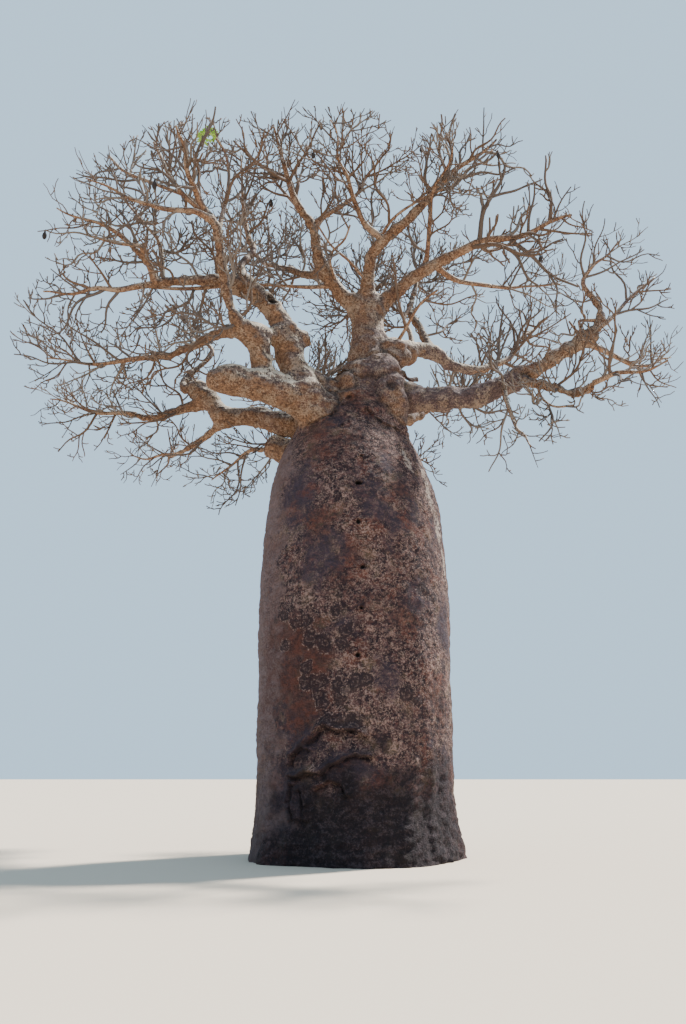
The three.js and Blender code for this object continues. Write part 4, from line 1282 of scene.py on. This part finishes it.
# %% Swellings, flakes, folds and holes
# Swellings by noise: depth and size in metres, octaves, and how drawn out they are along each axis.
SWELLINGS = {
    "barrel": (0.040, 1.3, 2, (1, 1, 1.6)), "waves": (0.012, 0.35, 2),
    "flutes": (0.11, 0.5, 2, (1, 1, 1 / 0.15)), "wrinkles": (0.045, 0.3, 3, (1, 1, 0.4)),
    "neck": (0.045, 0.4, 3, (1, 1, 0.6)), "knobs": (0.026, 0.28, 3), "small_knobs": (0.010, 0.12, 2),
    "girth": (0.09, 0.2, 2), "stem": (0.08, 0.25, 2)}
FLUTES_HEIGHT, WRINKLES_HEIGHT = 1.4, 1.6  # metres over which they fade up the trunk
NECK_SWELLINGS = (8.8, 9.8, 11, 12.2)  # heights where they start, are full, fade and end
FLAKE_DEPTH, RING_DEPTH, RING_GAP, RINGS_REACH = 0.012, 0.016, 0.13, 0.3
CREASE_DEPTH, CREASE_WIDTH = 0.055, 0.045
RAGGED = (0.35, 0.05)  # size and reach of the shaking that makes cracks waver
LIP, SET_BACK = 0.8, 0.5  # a fold's lip and the bark below it, over the crack's depth
LIP_WIDTH, GROOVE_WIDTH, SET_BACK_REACH = 0.06, 0.030, 0.2
SHADE_WIDTH, TUCKED_SHADE, TUCKED_REACH = 0.036, 0.85, 0.06  # dark in a crack and under its lip
HOLE_RIM, HOLE_RIM_AT, HOLE_RIM_WIDTH = 0.022, 1.45, 0.35  # the last two over the hole's own width
KNOT_RIM, KNOT_RIM_AT, KNOT_RIM_WIDTH = 0.05, 0.03, 0.05


def bump(values, middle, width):
    """1 at the middle value, with a smooth fall on both sides."""
    return np.exp(-((values - middle) / width) ** 2)


def swelling(points, kind):
    depth, *shape = SWELLINGS[kind]
    return depth * lumps(points, *shape)


def fold_relief(points):
    """A lip above each crack, a groove along it, and bark set back below it."""
    relief = np.zeros(len(points))
    ragged = shaken(points, *RAGGED)
    for path, depth in CRACKS:
        gap, above = crack_gaps(ragged, path)
        lip = LIP * bump(gap, LIP_WIDTH, LIP_WIDTH) * smooth_step(above, -0.01, 0.02)
        behind = SET_BACK * np.exp(-gap / SET_BACK_REACH) * smooth_step(-above, 0, 0.05)
        relief += depth * (lip - bump(gap, 0, GROOVE_WIDTH) - behind)
    return relief


def fold_shade(gap, above):
    """Dark in a crack, and less so on the bark tucked in below it."""
    tucked = np.exp(-gap / TUCKED_REACH) * smooth_step(-above, 0, 0.03)
    return np.maximum(bump(gap, 0, SHADE_WIDTH), TUCKED_SHADE * tucked)


def hole_relief(points):
    relief = np.zeros(len(points))
    height, bearing, radius = bark_places(points)
    for h, b, wide, tall, depth in HOLES:
        across = np.radians(bearing_gap(bearing, b)) * radius
        away = np.hypot(across / wide, (height - h) / tall)
        rim = HOLE_RIM * bump(away, HOLE_RIM_AT, HOLE_RIM_WIDTH)
        relief += rim - depth * smooth_step(1 - away, 0, 0.55)
    return relief


def knothole_gaps(points):
    """For each knot hole, how far outside its rim the points lie, and the depth of the hole."""
    for name, share, bearing, rise, mouth, depth in KNOTHOLES:
        centre = limbs[name].places([share])[0] + heading_of(bearing, rise) * limbs[name].radii([share])[0]
        yield np.linalg.norm(points - centre, axis=1) - mouth, depth


def knothole_relief(points):
    """A swollen rim round each knot hole and the hole itself."""
    return sum(KNOT_RIM * bump(gap, KNOT_RIM_AT, KNOT_RIM_WIDTH) - depth * smooth_step(-gap, 0, 0.08)
               for gap, depth in knothole_gaps(points))


def bark_relief(points, limb_share, trunk_gap, lead):
    height, knot = points[:, 2], knot_of_neck(points)
    above_ground = np.maximum(height, 0)
    on_trunk_only = 1 - limb_share
    barrel = swelling(points, "barrel") + swelling(points, "waves")
    flutes = swelling(points, "flutes") * np.exp(-above_ground / FLUTES_HEIGHT)
    wrinkles = swelling(points, "wrinkles") * np.exp(-above_ground / WRINKLES_HEIGHT)
    knobs = swelling(points, "knobs") + swelling(points, "small_knobs")
    neck = swelling(points, "neck") * level_band(height, *NECK_SWELLINGS)
    flakes = FLAKE_DEPTH * smooth_step(lumps(points, 0.16, 3, (1, 1, 0.8)), 0.05, 0.22)
    rings = RING_DEPTH * np.cos(2 * math.pi * (trunk_gap + 0.05 * lumps(points, 0.4, 1)) / RING_GAP)
    ringed = limb_share * np.exp(-np.maximum(trunk_gap, 0) / RINGS_REACH) * (1 - 0.7 * knot)
    creases = -CREASE_DEPTH * bump(lead, 0, CREASE_WIDTH) * knot
    return (on_trunk_only * (barrel + flutes + wrinkles) + limb_share * knobs + neck + flakes
            + rings * ringed + creases
            + fold_relief(points) + hole_relief(points) + knothole_relief(points))


at += way * bark_relief(at, limb_share, trunk_gap, lead)[:, None]
skin.data.vertices.foreach_set("co", at.ravel())
skin.data.update()
lone(skin)
with edit_mode():
    bpy.ops.mesh.select_all(action="SELECT")
    bpy.ops.mesh.bisect(plane_co=(0, 0, 0), plane_no=(0, 0, 1), clear_inner=True, use_fill=True)
bpy.ops.object.shade_smooth_by_angle(angle=math.radians(75))

# %% Marks for the bark's finish
# the sun's side: the limbs are painted paler as sunlit there, over bark that is bleached too
BLEACHING_AND_SUN = (0.5, 0.1, 0.85)  # the way that the palest sides of the limbs face
# knot holes are painted black inside as shade, fully from this depth on
DEEP_KNOT = 0.1  # a knot hole from this depth on is black inside
STRIP_WANDER = 16  # degrees by which the edge of the smooth strip wavers
BLACKEST_FOOT, FAR_FOOT = -75, 0.45  # bearing of the foot's blackest side, and how black the far side is


def paint_mark(piece, name, values):
    layer = piece.data.attributes.new(name, "FLOAT", "POINT")
    layer.data.foreach_set("value", np.clip(values, 0, 1).astype(np.float32))


def bleached_and_sunlit_share(piece):
    """1 where the skin faces the sun's side, where the bark is bleached and painted as sunlit, 0 underneath.
    """
    normals = read_out(piece.data.vertices, "normal")
    return smooth_step(normals @ unit(np.array(BLEACHING_AND_SUN)), -0.6, 1.0)


def near_run(start, end, reach):
    """1 beside a straight run and 0 away from it, with a ragged edge."""
    return smooth_step(reach + 0.25 * fine - gap_to_path(at, [start, end])[0], 0, 0.3)


at = read_out(skin.data.vertices, "co")
_, _, limb_share, _, lead = ragged_union(at)
height, bearing, _ = bark_places(at)
uneven = lumps(at, 0.5, 3)
fine = lumps(at, 0.14, 2)
strip_gap = np.abs(bearing_gap(bearing, STRIP_MIDDLE)) + uneven * STRIP_WANDER
foot_gap = np.abs(bearing_gap(bearing, BLACKEST_FOOT))
foot_side = FAR_FOOT + (1 - FAR_FOOT) * smooth_step(-foot_gap, -75, -30)
ragged = shaken(at, *RAGGED)
cracks = np.max([fold_shade(*crack_gaps(ragged, path)) for path, _ in CRACKS], axis=0)
hole_shade = smooth_step(-hole_relief(at), 0.012, 0.045)
knothole_shade = np.max([smooth_step(0.02 - gap, 0, 0.05) * min(1, depth / DEEP_KNOT)
               for gap, depth in knothole_gaps(at)], axis=0)
creases = bump(lead, 0, 0.03) * knot_of_neck(at)
limb = smooth_step(limb_share + smooth_step(height, 9.2, 11.0) * 0.7 + fine * 0.2, 0.3, 0.8)
rust = np.maximum(blobs(at, RUSTY), blobs(at, FAINT_RUST) * 0.55)
marks = {
    "limb": limb * (1 - 0.3 * near_run(*NECK_RUN)),
    "dusky": np.max([near_run(*run) for run in DUSKY_RUNS], axis=0),
    "shady": blobs(at, SHADY),
    "strip": smooth_step(STRIP_HALF - strip_gap, -13, 14) * smooth_step(STRIP_TOP - height, 0, 0.8),
    "rust": rust + uneven * 0.25 * (rust > 0),
    "rosette": blobs(shaken(at, 0.14, 0.08), ROSETTES),
    "foot": smooth_step(FOOT_TOP - height + uneven * 0.8, 0, 2.4) * foot_side,
    # paler on the sun's side: bleached bark and painted sunlight
    "bleached_and_sunlit": bleached_and_sunlit_share(skin) * (1 - 0.35 * knot_of_neck(at)),
    # painted sunlit patches on the trunk's right edge
    "pale": blobs(at, SUNLIT_PATCHES),
    # painted shade in cracks and under their lips, in holes and knot holes, and in the neck's creases
    "recess_shade": np.maximum.reduce([cracks, hole_shade, knothole_shade, creases * 0.6])}
for name, values in marks.items():
    paint_mark(skin, name, values)
skin.data.materials.clear()
skin.data.materials.append(trunk_bark)
print("skin ends with", sum(len(p.vertices) - 2 for p in skin.data.polygons), "triangles")

# %% [markdown]
# ## Slim limbs and stems
# Limbs that start less than 0.2 m thick would melt away in the remesh, so they stay tubes, with a
# swollen root sunk in their parent and a slightly uneven girth. The stems of the masses grow on from
# the limbs' tips at the same thickness.

# %% Slim limbs and stems
SLIM_SIDES = 10
SLIM_STEP = 0.07
SWELL = 0.4  # share by which a slim limb is thicker at its very root

slim_names = [name for name, limb in limbs.items() if limb.root < SKIN_ROOT]
slim_stock = TubeStock()
for name in slim_names:
    places, radii = limbs[name].line(SLIM_STEP)
    run = np.linspace(0, limbs[name].length, len(places))
    radii = radii * (1 + SWELL * np.exp(-run / limbs[name].root)) * (1 + swelling(places, "girth"))
    slim_stock.add(places[None], radii[None], SLIM_SIDES)
for k in range(mass_count):
    points, radii = stem_line(k)
    radii = radii * (1 + swelling(points, "stem"))
    slim_stock.add(points[None], radii[None], SLIM_SIDES)
slim = slim_stock.piece("slim_limbs", [slim_bark])
# paler on the sun's side: bleached bark and painted sunlight
paint_mark(slim, "bleached_and_sunlit", bleached_and_sunlit_share(slim))
print("slim limbs and stems have", slim_stock.triangles(), "triangles")

# %% [markdown]
# ## The crown
# The twigs of neighbouring masses are joined into one piece for each part of the crown. Every spray,
# which is a twig with all that grows on it, takes one of three plain bark tones by a throw of the dice.

# %% Sprays of twigs
CROWN = {
    "crown_top": ("top",),
    "crown_right": ("right_high", "right_middle"),
    "crown_low_right": ("right_curl", "right_low", "shoulder"),
    "crown_left": ("left_long", "left_riser", "left_upright", "left_fork", "left_inner"),
    "crown_low_left": ("left_middle", "left_low"),
    "crown_back": ("back",),
}
TONE_SHARES = (0.45, 0.8)  # the rolls of the dice at which the tone changes
# Each generation, the sides of its tubes, and the share of its radius that is left at the tip.
GENERATIONS = ((long_twigs, 5, 0.45), (sides, 4, 0.7), (spurs, 4, 0.8))


def tone_of(growth):
    roll = Dice(growth.spray * TWIG_SEED_STEP + NEW_SEEDS).roll()
    return (roll > TONE_SHARES[0]).astype(int) + (roll > TONE_SHARES[1])


crown_pieces = {}
for name, starts in CROWN.items():
    wanted = np.array([mass.startswith(starts) for mass in mass_names])
    stock = TubeStock()
    for growth, tube_sides, end_share in GENERATIONS:
        part = growth.pick(wanted[growth.mass])
        stock.grow(part, tube_sides, end_share, tone_of(part))
    crown_pieces[name] = stock.piece(name, twig_barks)
    print(name, stock.triangles(), "triangles")

# %% [markdown]
# ## Dried fruits and the one green tuft
# A few last fruits hang at the ends of twigs, dark and shrunken, each on a short stalk. One is
# modelled by hand from a ball and copied. At the upper left one twig has fresh leaves already.

# %% A fruit and its copies
FRUIT_RADIUS, FRUIT_LENGTH = 0.048, 0.165
STALK, STALK_LEAN = 0.06, 0.008
STALK_FROM = 0.8  # faces above this share of half the length are drawn out into the stalk
STALK_END = (0.35, 0.35, 0.3)  # and shrunk by this at its end


def model_fruit():
    bpy.ops.object.select_all(action="DESELECT")
    bpy.ops.mesh.primitive_uv_sphere_add(segments=8, ring_count=6, radius=FRUIT_RADIUS, location=(0, 0, 0))
    ball = bpy.context.object
    with edit_mode():
        bpy.ops.transform.resize(value=(1, 1, FRUIT_LENGTH / (2 * FRUIT_RADIUS)))
    choose_faces(ball, [face.center.z > STALK_FROM * FRUIT_LENGTH / 2 for face in ball.data.polygons])
    with edit_mode():
        bpy.ops.mesh.extrude_region_move(TRANSFORM_OT_translate={"value": (STALK_LEAN, 0, STALK)})
        stalk_tip = (STALK_LEAN, 0, FRUIT_LENGTH / 2 + STALK)
        bpy.ops.transform.resize(value=STALK_END, center_override=stalk_tip)
    return ball


def hang_fruits(tips):
    """One mesh of turned and scaled copies of the fruit, one below each tip."""
    pattern = model_fruit()
    base = read_out(pattern.data.vertices, "co")
    outline = [list(face.vertices) for face in pattern.data.polygons]
    bpy.data.objects.remove(pattern)
    dice = Dice(np.arange(len(tips)) + NEW_SEEDS)
    sizes, turns = 0.85 + 0.3 * dice.roll(), dice.roll() * 2 * math.pi
    corners, faces = [], []
    for k, (tip, size, turn) in enumerate(zip(tips, sizes, turns)):
        c, s = math.cos(turn), math.sin(turn)
        place = tip - UP * (FRUIT_LENGTH / 2 + STALK)
        corners.append(base * size @ np.array([[c, s, 0], [-s, c, 0], [0, 0, 1]]) + place)
        faces += [[v + k * len(base) for v in face] for face in outline]
    return mesh_piece("dried_fruits", np.concatenate(corners), faces, [fruit_skin])


bearers_of_fruit = np.concatenate(
    [np.flatnonzero(twigs.mass == k)[:row[-1]] for k, row in enumerate(MASSES.values())])
fruits = hang_fruits(twigs.points[bearers_of_fruit, -1])
print(len(bearers_of_fruit), "fruits")

# %% Fresh leaves
TUFT_PLACE = (-3.35, -2.2, 15.85)  # the twig tip nearest to this carries the tuft
LEAVES, LEAFLETS = 15, 5
LEAFLET_LENGTH, LEAFLET_WIDTH, LEAF_THICKNESS = 0.17, 0.06, 0.004
LEAFLET_OUTLINE = [(0, 0), (0.35, 0.42), (0.7, 0.5), (1, 0), (0.7, -0.5), (0.35, -0.42)]
LEAFLET_FACES = [[0, 1, 5], [1, 2, 4, 5], [2, 3, 4]]
FAN, DROOP_OF_LEAF = 140, 0.25  # degrees across a leaf's fan of leaflets, and how far they hang


def leaf_tuft(tip):
    corners, faces = [], []
    dice = Dice(np.arange(LEAVES) + NEW_SEEDS)
    bearings = np.arange(LEAVES) * GOLDEN_ANGLE
    rises, reaches = dice.roll() * 1.3 - 0.15, 0.06 + 0.12 * dice.roll()
    for bearing, rise, reach in zip(bearings, rises, reaches):
        way = heading_of(math.degrees(bearing), math.degrees(rise))
        hub = tip + way * reach
        flat = square_to(way[None])[0]
        for k in range(LEAFLETS):
            fan = math.radians(FAN * (k / (LEAFLETS - 1) - 0.5))
            run = way * math.cos(fan) + flat * math.sin(fan)
            across = np.cross(run, np.cross(way, flat))
            faces += [[len(corners) + v for v in face] for face in LEAFLET_FACES]
            for along, aside in LEAFLET_OUTLINE:
                corners.append(hub + (run - UP * DROOP_OF_LEAF * along) * along * LEAFLET_LENGTH
                               + across * aside * LEAFLET_WIDTH)
    made = mesh_piece("leaf_tuft", corners, faces, [leaf_green], smooth=False)
    modify(made, "SOLIDIFY", thickness=LEAF_THICKNESS)
    return made


side_tips = sides.points[:, -1]
tuft = leaf_tuft(side_tips[np.argmin(np.linalg.norm(side_tips - TUFT_PLACE, axis=1))])
print("the tuft has", LEAVES, "leaves")

# %% [markdown]
# ## What each piece stands for
# The bark skin and the tubes take the place of the solid trunk and limbs, and each part of the crown
# takes the place of its masses. Nothing moves, so all of it rides on the one body.

# %% Ride and replace
def stands_for(piece, nodes):
    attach(piece, "root")
    if nodes:
        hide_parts(*nodes)


stands_for(skin, ["trunk"] + ["bough_" + name for name in skin_limbs if name in BOUGHS])
stands_for(slim, ["bough_" + name for name in slim_names if name in BOUGHS])
for name, starts in CROWN.items():
    masses = ["twigs_" + mass for mass in mass_names if mass.startswith(starts)]
    stands_for(crown_pieces[name], masses)
stands_for(fruits, [])
stands_for(tuft, [])

# %% [markdown]
# ## Floor, light and camera
# A plain pale floor and a plain pale sky let the twigs stand out. The real sun is high, to the right
# and a little behind, so the limbs' tops are bright; a softened sun does the same here, and a large
# panel in front keeps the trunk from going dark.

# %% Floor
bpy.ops.object.select_all(action="DESELECT")
bpy.ops.mesh.primitive_plane_add(size=600, location=(0, 0, 0))
floor = bpy.context.object
floor.name = "floor"
floor.data.materials.append(Finish("pale_floor", 0.95, (0.52, 0.44, 0.35)).material)

# %% Light
world = bpy.data.worlds.new("pale_sky")
world.use_nodes = True
world.node_tree.nodes["Background"].inputs["Color"].default_value = (0.55, 0.78, 1.0, 1)
world.node_tree.nodes["Background"].inputs["Strength"].default_value = 1.25
bpy.context.scene.world = world


LIT_POINT = (0, 0, 8)


def add_light(name, kind, place, **settings):
    """A light at a place, which points at the middle of the tree."""
    lamp = bpy.data.lights.new(name, kind)
    for key, value in settings.items():
        setattr(lamp, key, value)
    made = placed(name, lamp)
    made.location = place
    made.rotation_euler = (Vector(LIT_POINT) - Vector(place)).to_track_quat("-Z", "Y").to_euler()


add_light("high_sun", "SUN", (14, 10, 34), energy=13.0, angle=math.radians(4), color=(1.0, 0.96, 0.9))
add_light("front_panel", "AREA", (-16, -30, 16), energy=520, size=16)

# %% Camera
EYE = (-0.25, -18.8, 1.6)
TILT = 16.8  # degrees above level
FOCAL_PIXELS, PICTURE_HEIGHT, SENSOR = 870, 1024, 36
camera = bpy.data.cameras.new("eye")
camera.sensor_width = SENSOR
camera.lens = FOCAL_PIXELS / PICTURE_HEIGHT * SENSOR
eye = placed("eye", camera)
eye.location = EYE
eye.rotation_euler = (math.radians(90 + TILT), 0, 0)
bpy.context.scene.camera = eye
